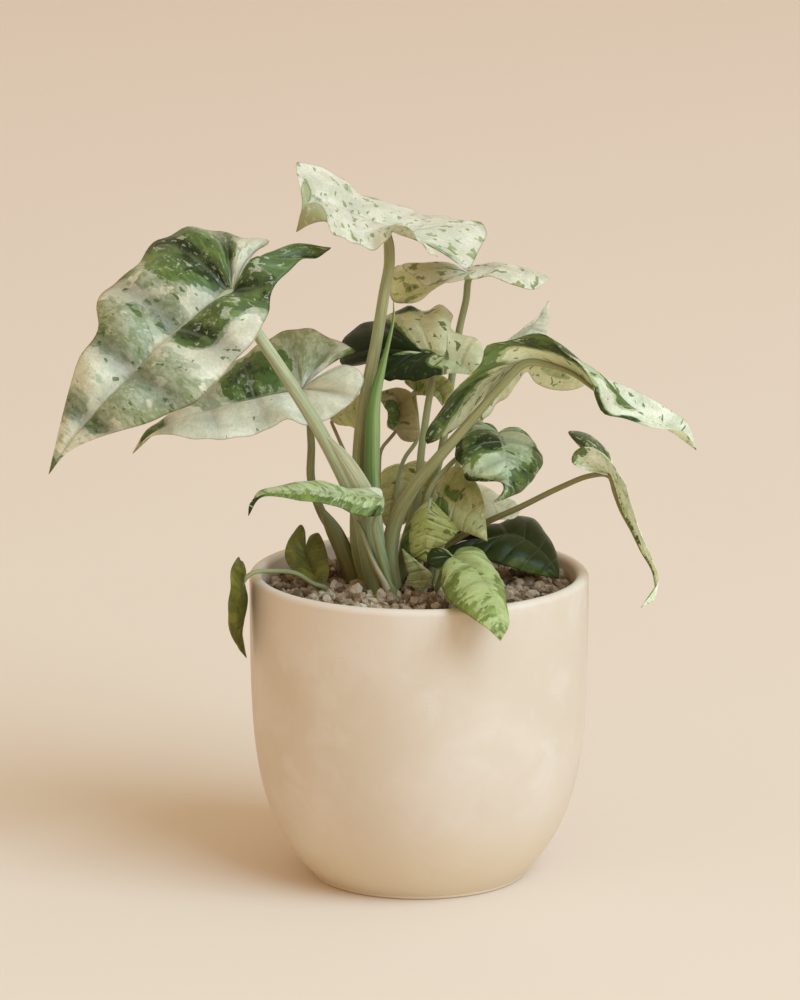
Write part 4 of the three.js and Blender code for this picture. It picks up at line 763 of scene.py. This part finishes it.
def pot_shape():
    """Foot with a small rounding, bellied outer wall, rounded lip and inner wall down to a
    rounded floor, all one profile turned about the axis."""
    lip_foot, half_wall, floor_turn = POT_HEIGHT - LIP_ROUNDING, POT_WALL / 2, FLOOR_THICKNESS + FLOOR_ROUNDING
    low = FOOT_ROUNDING + (lip_foot - FOOT_ROUNDING) * np.linspace(0, 1, 70) ** WALL_BUNCHING
    inside = floor_turn + (lip_foot - floor_turn) * np.linspace(1, 0, 40) ** WALL_BUNCHING
    foot_radius = pot_radius(FOOT_ROUNDING)
    return turned(np.vstack([
        [(0.0, FOOT_HOLLOW), (foot_radius - FOOT_RING[0], FOOT_HOLLOW), (foot_radius - FOOT_RING[1], 0.0)],
        arc(foot_radius - FOOT_ROUNDING, FOOT_ROUNDING, FOOT_ROUNDING, FOOT_ROUNDING, -90, -8),
        np.stack([pot_radius(low), low], axis=1),
        arc(pot_radius(lip_foot) - half_wall, lip_foot, half_wall, LIP_ROUNDING, 4, 176, 22),
        np.stack([pot_radius(inside) - POT_WALL, inside], axis=1),
        [(pot_radius(floor_turn) - POT_WALL - FLOOR_EDGE[0], FLOOR_THICKNESS + FLOOR_EDGE[1]),
         (FLOOR_FLAT, FLOOR_THICKNESS), (0.0, FLOOR_THICKNESS)]]))


def mound(x, y):
    """The filling's height over its edge: highest round the stalks, and falling off as a square."""
    inner = pot_radius(SOIL_TOP) - POT_WALL
    return MOUND_HEIGHT * (1 - np.clip(np.hypot(x, y) / inner, 0, 1) ** 2)


def soil_heap():
    """What fills the pot up to just under the gravel's top: a turned profile that ends in a low
    mound with rolling lumps, level with its own edge."""
    bottom, top = FLOOR_THICKNESS + SOIL_FLOOR_GAP, BED_TOP - SOIL_COVER
    levels = bottom + (top - bottom) * np.linspace(0, 1, 18)
    wall = np.stack([pot_radius(levels) - POT_WALL - SOIL_WALL_GAP, levels], axis=1)
    edge = wall[-1, 0]
    lid = [(radius, top) for radius in np.linspace(edge, 0, 60)[1:]]
    points, faces = turned(np.vstack([[(0.0, bottom), (wall[0, 0] - 1, bottom)], wall, lid]), 120)
    radius = np.hypot(points[:, 0], points[:, 1])
    lumps = sum(height * rolling(points, size, SOIL_SEED + k) for k, (height, size) in enumerate(SOIL_LUMPS))
    rise = mound(points[:, 0], points[:, 1]) + lumps * smooth_step(-radius, -edge, SOIL_EDGE - edge)
    points[:, 2] += np.where(np.isclose(points[:, 2], top), rise, 0)
    return points, faces


def pebble_ball():
    """A ball of 32 triangles: an octahedron whose edges are halved once, facing outwards."""
    points = [np.array(p, float) for p in ((1, 0, 0), (0, 1, 0), (-1, 0, 0), (0, -1, 0), (0, 0, 1), (0, 0, -1))]
    corners = [(k, (k + 1) % 4, 4) for k in range(4)] + [((k + 1) % 4, k, 5) for k in range(4)]
    middles, faces = {}, []
    for a, b, c in corners:
        halves = []
        for edge in ((a, b), (b, c), (c, a)):
            key = tuple(sorted(edge))
            if key not in middles:
                middles[key] = len(points)
                points.append(unit(points[edge[0]] + points[edge[1]]))
            halves.append(middles[key])
        ab, bc, ca = halves
        faces += [(a, ab, ca), (b, bc, ab), (c, ca, bc), (ab, bc, ca)]
    return np.array(points), np.array(faces)


def rough_balls(draw, count, roughness):
    """Copies of the ball whose points are pushed in or out at random, and all their faces."""
    ball, faces = pebble_ball()
    lumps = 1 + roughness * draw.normal(size=(count, len(ball), 1)).clip(-1.6, 1.6)
    return ball[None] * lumps, (faces[None] + (np.arange(count) * len(ball))[:, None, None]).reshape(-1, 3)


def bare(x, y):
    """How much a place is kept free of gravel: 1 inside the ellipses of bare soil, 0 outside."""
    shares = [1 - smooth_step(np.hypot((x - cx) / rx, (y - cy) / ry), *BARE_EDGE) for cx, cy, rx, ry in BARE_SOIL]
    return np.max(shares, axis=0)


def gravel_shape():
    """Crushed pumice: grains in jittered rows over the mound and a thinner second layer on it,
    each the same ball pushed in and out at random, flattened, turned and scaled."""
    draw = np.random.default_rng(GRAVEL_SEED)
    edge = pot_radius(BED_TOP) - POT_WALL - BED_EDGE_GAP
    places = []
    for spread, lift in GRAVEL_LAYERS:
        spacing = GRAIN_SPACING * spread
        reach = int(edge / spacing) + 2
        column, row = np.meshgrid(np.arange(-reach, reach + 1), np.arange(-reach, reach + 1))
        x = ((column + (row % 2) / 2) + draw.uniform(-GRAIN_JITTER[0], GRAIN_JITTER[0], row.shape)) * spacing
        y = (row * ROW_SPACING + draw.uniform(-GRAIN_JITTER[1], GRAIN_JITTER[1], row.shape)) * spacing
        x, y = x.ravel(), y.ravel()
        size = draw.uniform(*GRAIN_RADII, x.shape)
        inside = (np.hypot(x, y) < edge - size * GRAIN_INSET) & (bare(x, y) < draw.uniform(0.05, 0.95, x.shape))
        z = BED_TOP + mound(x, y) + lift * size / MEAN_GRAIN + draw.uniform(-GRAIN_RISE, GRAIN_RISE, x.shape)
        places.append(np.stack([x, y, z, size], axis=1)[inside])
    places = np.vstack(places)
    count = len(places)
    balls, faces = rough_balls(draw, count, GRAIN_ROUGHNESS)
    stretch = draw.uniform(*GRAIN_STRETCH, (count, 1, 3))
    turn = np.linalg.qr(draw.normal(size=(count, 3, 3)))[0]
    turn *= np.sign(np.linalg.det(turn))[:, None, None]
    grains = (balls * stretch * places[:, 3:, None]) @ turn + places[:, None, :3]
    return grains.reshape(-1, 3), faces, np.repeat(draw.uniform(0, 1, count), balls.shape[1])


def crumb_shape():
    """Crumbs of dark soil heaped on the bare places: smaller, rounder balls than the grains."""
    draw = np.random.default_rng(CRUMB_SEED)
    spots = []
    for cx, cy, rx, ry in BARE_SOIL:
        count = int(rx * ry * CRUMB_DENSITY)
        around, out = draw.uniform(0, 2 * np.pi, count), np.sqrt(draw.uniform(0, 1, count))
        spots.append(np.stack([cx + rx * out * np.cos(around), cy + ry * out * np.sin(around)], axis=1))
    spots = np.vstack(spots)
    size = draw.uniform(*CRUMB_RADII, len(spots))
    z = BED_TOP - CRUMB_SINK + mound(*spots.T) + size * draw.uniform(0.1, 0.9, len(spots))
    balls, faces = rough_balls(draw, len(spots), CRUMB_ROUGHNESS)
    crumbs = balls * size[:, None, None] + np.column_stack([spots, z])[:, None]
    return crumbs.reshape(-1, 3), faces


class Wire:
    """A node's output that can be reckoned with: + - * and abs make math nodes."""

    def __init__(self, socket):
        self.socket = socket
        self.tree = socket.id_data

    def math(self, operation, other=0.0):
        return wire(self.tree, "ShaderNodeMath", {0: self, 1: other}, operation=operation)

    def __add__(self, other):
        return self.math("ADD", other)

    def __sub__(self, other):
        return self.math("SUBTRACT", other)

    def __rsub__(self, other):
        return wire(self.tree, "ShaderNodeMath", {0: other, 1: self}, operation="SUBTRACT")

    def __mul__(self, other):
        return self.math("MULTIPLY", other)

    def __abs__(self):
        return self.math("ABSOLUTE")


def feed(sockets, values):
    """Gives sockets their links or values; a colour needs no alpha."""
    for key, value in dict(values).items():
        if isinstance(value, Wire):
            value.tree.links.new(value.socket, sockets[key])
        elif isinstance(value, tuple) and sockets[key].type == "RGBA":
            sockets[key].default_value = (*value, 1.0)
        else:
            sockets[key].default_value = value


def node(tree, kind, inputs=(), **settings):
    made = tree.nodes.new(kind)
    for key, value in settings.items():
        setattr(made, key, value)
    feed(made.inputs, inputs)
    return made


def wire(tree, kind, inputs=(), output=0, **settings):
    """Adds a node and gives one of its outputs."""
    return Wire(node(tree, kind, inputs, **settings).outputs[output])


def ease(value, low, high, to_low=0.0, to_high=1.0):
    """A smooth step from one value to another."""
    steps = {0: value, 1: low, 2: high, 3: to_low, 4: to_high}
    return wire(value.tree, "ShaderNodeMapRange", steps, interpolation_type="SMOOTHSTEP")


def blend(share, first, second, kind="MIX"):
    tree = next(value.tree for value in (share, first, second) if isinstance(value, Wire))
    return wire(tree, "ShaderNodeMix", {0: share, 6: first, 7: second}, 2, data_type="RGBA", blend_type=kind)


def tint(colour, factor):
    return blend(1.0, colour, factor, "MULTIPLY")


def shaded(colour, red, green=None, blue=None):
    """A colour times one wire, or one for each channel."""
    factors = {0: red, 1: green or red, 2: blue or red}
    return tint(colour, wire(colour.tree, "ShaderNodeCombineColor", factors))


def painted(colour, *coats):
    """A colour under coats that are each a share and a colour."""
    for share, coat in coats:
        colour = blend(share, colour, coat)
    return colour


def cloud(vector, scale, detail=3.0, roughness=0.55, distortion=0.0):
    """A noise value round a half."""
    return wire(vector.tree, "ShaderNodeTexNoise", {
        "Vector": vector, "Scale": scale, "Detail": detail, "Roughness": roughness, "Distortion": distortion})


def stretched(vector, factors, offset=(0.0, 0.0, 0.0)):
    return wire(vector.tree, "ShaderNodeMapping", {"Vector": vector, "Location": offset, "Scale": factors})


def split(vector):
    made = node(vector.tree, "ShaderNodeSeparateXYZ", {0: vector})
    return [Wire(socket) for socket in made.outputs]


def bump(height, strength, distance):
    return wire(height.tree, "ShaderNodeBump", {"Strength": strength, "Distance": distance, "Height": height})


def new_group(name, inputs, outputs):
    """An empty node group whose inputs and outputs are named under their kinds: its inputs as
    wires, and the sockets that take its outputs."""
    group = bpy.data.node_groups.new(name, "ShaderNodeTree")
    for way, kinds in (("INPUT", inputs), ("OUTPUT", outputs)):
        for kind, labels in kinds.items():
            for label in labels:
                group.interface.new_socket(name=label, in_out=way, socket_type=f"NodeSocket{kind}")
    sockets = group.nodes.new("NodeGroupInput").outputs
    return group, {socket.name: Wire(socket) for socket in sockets}, group.nodes.new("NodeGroupOutput").inputs


def splash_group():
    """Leaf variegation. Each step of the tone has its own noise, drawn out along the side veins:
    mint washes over cream, green islands over mint, dark over green, held back on the puffs as
    painted light; then light splashes on the dark parts, green dashes on the light ones, pale
    veins, and painted shade in the creases between the puffs. Height is for a bump."""
    group, given, out = new_group(
        "splash", dict(
            Vector=("Place", "Blade"),
            Float=("Tone", "Under", "Streaks", "Flecks", "Sparks", "Veins", "Vein Depth", "Olive", "Painted_Crease_Shade"),
            Color=("Cream", "Mint", "Lime", "Green", "Dark")),
        dict(Color=("Color",), Float=("Height", "Roughness")))
    place, tone, painted_crease_shade, olive = (given[label] for label in ("Place", "Tone", "Painted_Crease_Shade", "Olive"))
    cream, mint, lime, green = (given[label] for label in ("Cream", "Mint", "Lime", "Green"))

    def layer(wide, fine, offset=(0.0, 0.0, 0.0)):
        """A tone moved by broad clouds, by streaks along the veins and by a fine fraying."""
        clouds = cloud(stretched(place, wide, offset), 1.0, 3.0, 0.55, 0.7)
        streak = cloud(stretched(place, fine, offset), 1.0, 4.0, 0.62, 0.3)
        sway = (clouds - 0.5) * CLOUD_SWAY + (streak - 0.5) * STREAK_SWAY
        return tone + sway * given["Streaks"], clouds, streak

    mint_tone, clouds, streak = layer((1.3, 0.9, 1.0), (4.5, 1.6, 1.0))
    green_tone, islands, _ = layer((2.3, 0.9, 1.0), (6.5, 2.2, 1.0), (5.0, 3.0, 2.0))
    dark_tone, _, shards = layer((1.6, 1.1, 1.0), (5.5, 2.4, 1.0), (9.0, 8.0, 5.0))
    along, across, _ = split(given["Blade"])
    rib_share = abs(across * 2.0 - 1.0)
    vein_gap = abs((along * given["Veins"] + 0.5).math("FRACT") - 0.5)
    # Painted light on the middle of each puff between the side veins, as strong as the painted crease shade
    painted_puff_light = ease(vein_gap, 0.04, 0.30) * painted_crease_shade

    # Cream, mint over it, green over that, and dark over that, held back on the puffs as painted light
    ground = blend(ease(clouds, 0.35, 0.65), tint(cream, DULL_CREAM), tint(cream, BRIGHT_CREAM))
    wash = blend(ease(streak, 0.4, 0.62), mint, blend(0.45, mint, cream))
    leafy = blend(ease(islands, 0.46, 0.66), green, lime)
    colour = painted(
        ground, (ease(mint_tone, *MINT_STEP), wash), (ease(green_tone, *GREEN_STEP), leafy),
        (ease(dark_tone - painted_puff_light * PUFF_LIGHT_PAINT, *DARK_STEP), given["Dark"]))

    # Green dashes on the light parts, rusty ones on old leaves
    fleck = cloud(stretched(place, (4.6, 1.7, 1.0), (3.0, 7.0, 0.0)), 1.0, 2.0, 0.5, 0.4)
    rarity = 0.80 - given["Flecks"] * 0.15
    dots = ease(fleck - rarity, 0.0, 0.025) * ease(tone, 0.4, 0.55, 0.9, 0.0)
    dot_colour = blend(olive, blend(ease(islands, 0.45, 0.6), green, lime), RUST)

    # Light splashes and specks on the dark parts
    splashes = ease(shards, 0.56, 0.60) * ease(clouds, 0.45, 0.54)
    specks = ease(cloud(stretched(place, (4.2, 2.6, 1.0), (9.0, 2.0, 4.0)), 1.0, 2.0, 0.5, 0.5), 0.74, 0.77)
    light = splashes.math("MAXIMUM", specks) * (ease(tone, 0.5, 0.7) * given["Sparks"])

    # Pale rib and side veins, which fade towards the margin
    vein = ease(vein_gap, 0.0, 0.05, 1.0, 0.0) * ease(rib_share, 0.2, 0.95, 1.0, 0.0)
    lines = vein.math("MAXIMUM", ease(rib_share, 0.008, 0.04, 1.0, 0.0)) * given["Vein Depth"]
    colour = painted(
        colour, (dots, dot_colour), (light, blend(0.5, mint, cream)), (lines, blend(0.6, mint, cream)))

    # Painted shade in the creases between the puffs and painted light on the puffs, a thin brown margin, and fine
    # mottling
    colour = shaded(colour, 1.0 - (painted_crease_shade * 0.7 - painted_puff_light) * CREASE_SHADE_PAINT)
    colour = blend(ease(rib_share, *MARGIN_STEP, 0.0, 0.55), colour, tint(colour, BROWN_MARGIN))
    fine = cloud(stretched(place, (18.0, 8.0, 1.0)), 1.0, 3.0)
    colour = shaded(colour, *(ease(fine, 0.2, 0.8, *span) for span in MOTTLING))

    aged = blend(olive, colour, tint(colour, AGEING))
    below = blend(0.12, tint(aged, UNDERSIDE), mint)
    hair = cloud(stretched(place, (26.0, 3.0, 1.0)), 1.0, 2.0)
    feed(out, {
        "Color": blend(given["Under"], aged, below),
        "Height": ease(vein_gap, 0.0, 0.16) + hair * 0.3 + streak * 0.7,
        "Roughness": ease(streak, 0.3, 0.7, 0.34, 0.50)})
    return group


def stalk_group():
    """Stalk flesh: the foot's colour runs into the head's, with fine fibres along it, a darker
    band on one side, and blotches."""
    group, given, out = new_group(
        "stalk_flesh", dict(Vector=("Place", "Blade"), Color=("Foot", "Head"), Float=("Band",)),
        dict(Color=("Color",), Float=("Height",)))
    along, across, _ = split(given["Blade"])
    turn = across * (2 * math.pi)
    ring = wire(group, "ShaderNodeCombineXYZ", {
        0: turn.math("COSINE"), 1: turn.math("SINE"), 2: split(given["Place"])[0]})
    fibres = cloud(stretched(ring, (5.0, 5.0, 0.35)), 1.0, 3.0)
    blotch = cloud(stretched(ring, (1.2, 1.2, 0.8)), 1.0, 3.0)
    colour = blend(ease(along + blotch * 0.2, 0.15, 0.75), given["Foot"], given["Head"])
    colour = shaded(colour, ease(fibres * 0.7 + blotch * 0.3, 0.35, 0.65, 0.80, 1.14))
    band = given["Band"] * ease((turn - BAND_ANGLE).math("COSINE"), -0.1, 0.6)
    feed(out, {"Color": blend(band, colour, tint(colour, BAND_TINT)), "Height": fibres})
    return group


def new_material(name):
    material = bpy.data.materials.new(name)
    material.use_nodes = True
    tree = material.node_tree
    tree.nodes.clear()
    shader = tree.nodes.new("ShaderNodeBsdfPrincipled")
    tree.links.new(shader.outputs[0], tree.nodes.new("ShaderNodeOutputMaterial").inputs[0])
    return material, tree, shader


def coordinates(tree):
    return {name.title(): wire(tree, "ShaderNodeUVMap", uv_map=name) for name in ("grain", "blade")}


def blade_material(name, look, seed, splash):
    material, tree, shader = new_material(name)
    where = coordinates(tree)
    place = stretched(where["Grain"], (1.0, 1.0, 1.0), (seed * 7.3, seed * 3.1, seed * 1.7))
    inputs = {"Place": place, "Blade": where["Blade"], "Vein Depth": look["vein_depth"], "Veins": look["veins"]}
    for label in ("tone", "under"):
        inputs[label.title()] = wire(tree, "ShaderNodeAttribute", output="Fac", attribute_name=label)
    for label in ("streaks", "flecks", "sparks", "olive", "painted_crease_shade", "cream", "mint", "lime", "green", "dark"):
        inputs[label.title()] = look[label]
    made = node(tree, "ShaderNodeGroup", inputs, node_tree=splash)
    colour, height, roughness = (Wire(made.outputs[label]) for label in ("Color", "Height", "Roughness"))
    feed(shader.inputs, {
        "Base Color": colour, "Roughness": roughness, "Normal": bump(height, 0.5, 0.0006),
        "Specular IOR Level": 0.22, "Subsurface Weight": 0.6, "Subsurface Radius": (1.0, 1.0, 0.8),
        "Subsurface Scale": 0.0011})
    return material


def stalk_material(name, flesh, foot, head, band=0.0):
    material, tree, shader = new_material(name)
    where = coordinates(tree)
    inputs = {"Place": where["Grain"], "Blade": where["Blade"], "Foot": foot, "Head": head, "Band": band}
    made = node(tree, "ShaderNodeGroup", inputs, node_tree=flesh)
    feed(shader.inputs, {
        "Base Color": Wire(made.outputs["Color"]), "Normal": bump(Wire(made.outputs["Height"]), 0.35, 0.0006),
        "Roughness": 0.42, "Specular IOR Level": 0.28, "Subsurface Weight": 0.2,
        "Subsurface Radius": (1.0, 0.9, 0.4), "Subsurface Scale": 0.002})
    return material


def solid_material(name):
    """A new material with the place on its object."""
    material, tree, shader = new_material(name)
    return material, shader, wire(tree, "ShaderNodeTexCoord", output="Object")


def ceramic_material():
    """Matte cream ceramic: slow warm mottling, pale clouds, a yellower foot, a faint upright
    smear and fine speckle."""
    material, shader, where = solid_material("cream_ceramic")
    mottle, speckle = cloud(where, 14.0, 4.0), cloud(where, 900.0, 2.0)
    smear = cloud(stretched(where, (60.0, 60.0, 14.0)), 1.0, 2.0)
    pale = cloud(where, 30.0, 5.0, 0.6, 0.6)
    colour = painted(
        blend(ease(mottle, 0.38, 0.62), (0.68, 0.545, 0.425), (0.725, 0.59, 0.478)),
        (ease(pale, 0.50, 0.68, 0.0, 0.6), (0.75, 0.635, 0.535)),
        (ease(split(where)[2], YELLOW_FOOT, 0.0, 0.0, 0.8), (0.76, 0.62, 0.435)),
        (ease(smear, 0.62, 0.80, 0.0, 0.35), (0.66, 0.53, 0.39)),
        (ease(speckle, 0.62, 0.74, 0.0, 0.30), (0.58, 0.46, 0.34)))
    feed(shader.inputs, {
        "Base Color": colour, "Roughness": ease(mottle, 0.3, 0.7, 0.50, 0.62),
        "Normal": bump(speckle * 0.4 + mottle, 0.12, 0.0008), "Specular IOR Level": 0.32})
    return material


def pumice_material():
    """Crushed pumice: each grain its own shade between brown, tan and near white, with pores."""
    material, shader, where = solid_material("pumice_grains")
    shade = wire(where.tree, "ShaderNodeAttribute", output="Fac", attribute_name="shade")
    pores, dust = cloud(where, 900.0, 3.0), cloud(where, 260.0, 3.0)
    colour = painted(
        blend(ease(shade, 0.05, 0.45), (0.13, 0.078, 0.04), (0.31, 0.20, 0.12)),
        (ease(shade, 0.45, 0.80), (0.46, 0.345, 0.23)), (ease(shade, 0.945, 0.97), (0.66, 0.58, 0.47)),
        (ease(pores, 0.58, 0.70, 0.0, 0.55), (0.10, 0.06, 0.035)),
        (ease(dust, 0.5, 0.75, 0.0, 0.4), (0.62, 0.50, 0.40)))
    feed(shader.inputs, {
        "Base Color": colour, "Normal": bump(pores, 0.8, 0.0007), "Roughness": 0.9, "Specular IOR Level": 0.2})
    return material


def soil_material():
    """Dark potting mix: brown crumbs with paler lumps."""
    material, shader, where = solid_material("potting_mix")
    crumbs, lumps = cloud(where, 420.0, 4.0), cloud(where, 120.0, 3.0)
    colour = painted(
        blend(ease(crumbs, 0.35, 0.65), (0.018, 0.011, 0.006), (0.085, 0.048, 0.027)),
        (ease(lumps, 0.55, 0.75, 0.0, 0.5), (0.14, 0.085, 0.05)))
    feed(shader.inputs, {
        "Base Color": colour, "Normal": bump(crumbs, 0.9, 0.0012), "Roughness": 0.95, "Specular IOR Level": 0.15})
    return material


def paper_material():
    """The plain pale floor and backdrop, a little redder towards the back."""
    material, shader, where = solid_material("backdrop_paper")
    colour = painted(
        blend(ease(cloud(where, 2.0, 2.0), 0.3, 0.7), (0.77, 0.635, 0.53), (0.785, 0.65, 0.545)),
        (ease(split(where)[1], *PAPER_CHANGE), (0.795, 0.66, 0.575)))
    feed(shader.inputs, {"Base Color": colour, "Roughness": 0.9, "Specular IOR Level": 0.1})
    return material


def new_object(name, data):
    made = bpy.data.objects.new(name, data)
    bpy.context.scene.collection.objects.link(made)
    return made


def put_piece(name, parts, materials, cad_node):
    """Makes one mesh of parts given in millimetres, each with its own material where there are
    several, puts it under the root body and hides the CAD node it stands for."""
    offsets = np.cumsum([0] + [len(one["points"]) for one in parts])
    faces = np.vstack([one["faces"] + offset for one, offset in zip(parts, offsets)])
    numbers = np.repeat(np.arange(len(parts)) % len(materials), [len(one["faces"]) for one in parts])
    mesh = bpy.data.meshes.new(name)
    mesh.from_pydata(np.vstack([one["points"] * MM for one in parts]).tolist(), [], faces.tolist())
    for label in ("blade", "grain"):
        if f"{label}_uv" in parts[0]:
            corners = np.concatenate([one[f"{label}_uv"].reshape(-1, 2) for one in parts])
            mesh.uv_layers.new(name=label).data.foreach_set("uv", corners.ravel())
    for label in ("tone", "under", "shade"):
        if label in parts[0]:
            values = np.concatenate([one[label] for one in parts])
            mesh.attributes.new(label, "FLOAT", "POINT").data.foreach_set("value", values)
    for material in materials:
        mesh.materials.append(material)
    mesh.polygons.foreach_set("material_index", numbers.astype(np.int32))
    mesh.polygons.foreach_set("use_smooth", np.ones(len(mesh.polygons), bool))
    mesh.update()
    piece = new_object(name, mesh)
    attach(piece, "root")
    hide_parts(cad_node)
    return piece


splash, flesh = splash_group(), stalk_group()
plain_stalk = stalk_material("plain_stalk", flesh, *PLAIN_STALK)
for number, name in enumerate(LEAVES):
    leaf, look = {**PLAIN_LEAF, **LEAVES[name]}, {**PLAIN_LOOK, **LOOKS[name]}
    look["length"] = through(leaf["rib"])[1][-1] / 10 * GRAIN_LENGTH
    own_stalk = stalk_material(f"stalk_{name}", flesh, *STALKS[name]) if name in STALKS else plain_stalk
    materials = [blade_material(f"blade_{name}", look, number + 1, splash), own_stalk]
    parts = [blade(leaf, look), stalk(leaf)]
    for turn, row in enumerate(SHEATHS.get(name, [])):
        parts.append(sheath(row["inner"], row["outer"], row["bulge"]))
        materials.append(stalk_material(f"sheath_{name}_{turn}", flesh, *row["colours"]))
    if name == "old_sheath":
        parts += [course_tube(STRAND_COURSE, STRAND_RADII, rings=40, ribs=0.03, groove=0.1),
                  course_tube(STUB_COURSE, STUB_RADII, rings=16, ribs=0.03, groove=0.0)]
        materials += [stalk_material("dry_strand", flesh, *STRAND_COLOURS),
                      stalk_material("cut_stub", flesh, *STUB_COLOURS)]
    put_piece(f"{name}_leaf", parts, materials, f"leaf_{name}")

rolled = course_tube(ROLLED_COURSE, ROLLED_RADII, rings=90, ribs=0.02, groove=0.16)
rolled_material = stalk_material("rolled_leaf", flesh, *ROLLED_COLOURS, ROLLED_BAND)
put_piece("rolled_young_leaf", [rolled], [rolled_material], "leaf_new")

points, faces = pot_shape()
put_piece("ceramic_pot", [dict(points=points, faces=faces)], [ceramic_material()], "pot")
heap, heap_faces = soil_heap()
crumbs, crumb_faces = crumb_shape()
put_piece("soil_filling", [dict(points=heap, faces=heap_faces), dict(points=crumbs, faces=crumb_faces)],
          [soil_material()], "soil")
points, faces, shade = gravel_shape()
gravel = put_piece("pumice_dressing", [dict(points=points, faces=faces, shade=shade)], [pumice_material()], "gravel")
gravel.data.polygons.foreach_set("use_smooth", np.zeros(len(gravel.data.polygons), bool))

# A seamless sheet: floor in front, a wide bend, and an upright wall behind
bend = np.radians(np.linspace(0, 90, 24))
course = np.vstack([
    [(FLOOR_FRONT, 0.0)],
    np.stack([BEND_START + BEND_RADIUS * np.sin(bend), BEND_RADIUS * (1 - np.cos(bend))], axis=1),
    [(BEND_START + BEND_RADIUS, WALL_TOP)]])
sides = np.tile((-HALF_WIDTH, HALF_WIDTH), len(course))
sheet = np.column_stack([sides, np.repeat(course, 2, axis=0)])
mesh = bpy.data.meshes.new("backdrop")
mesh.from_pydata(sheet.tolist(), [], grid_quads(len(course), 2).tolist())
mesh.polygons.foreach_set("use_smooth", np.ones(len(mesh.polygons), bool))
mesh.materials.append(paper_material())
backdrop = new_object("backdrop", mesh)

# A soft square lamp
light = bpy.data.lights.new("key_light", "AREA")
light.size = LAMP_SIZE
light.energy = LAMP_WATTS
light.color = LAMP_COLOUR
lamp = new_object("key_light", light)
lamp.location = LAMP_PLACE
away = np.subtract(LAMP_TARGET, LAMP_PLACE)
lamp.rotation_euler = (math.atan2(math.hypot(away[0], away[1]), -away[2]), 0.0, math.atan2(-away[0], away[1]))

scene = bpy.context.scene
world = bpy.data.worlds.new("studio_air")
world.use_nodes = True
feed(world.node_tree.nodes["Background"].inputs, {"Color": AIR_COLOUR, "Strength": 1.0})
scene.world = world
scene.view_settings.view_transform = "Standard"

# The camera looks down from the front with a long lens
lens = bpy.data.cameras.new("front_camera")
lens.lens = CAMERA_LENS
lens.sensor_width = CAMERA_SENSOR
camera = new_object("front_camera", lens)
camera.location = CAMERA_PLACE
camera.rotation_euler = (math.radians(90 - CAMERA_DOWN), 0.0, math.radians(CAMERA_TURN))
scene.camera = camera
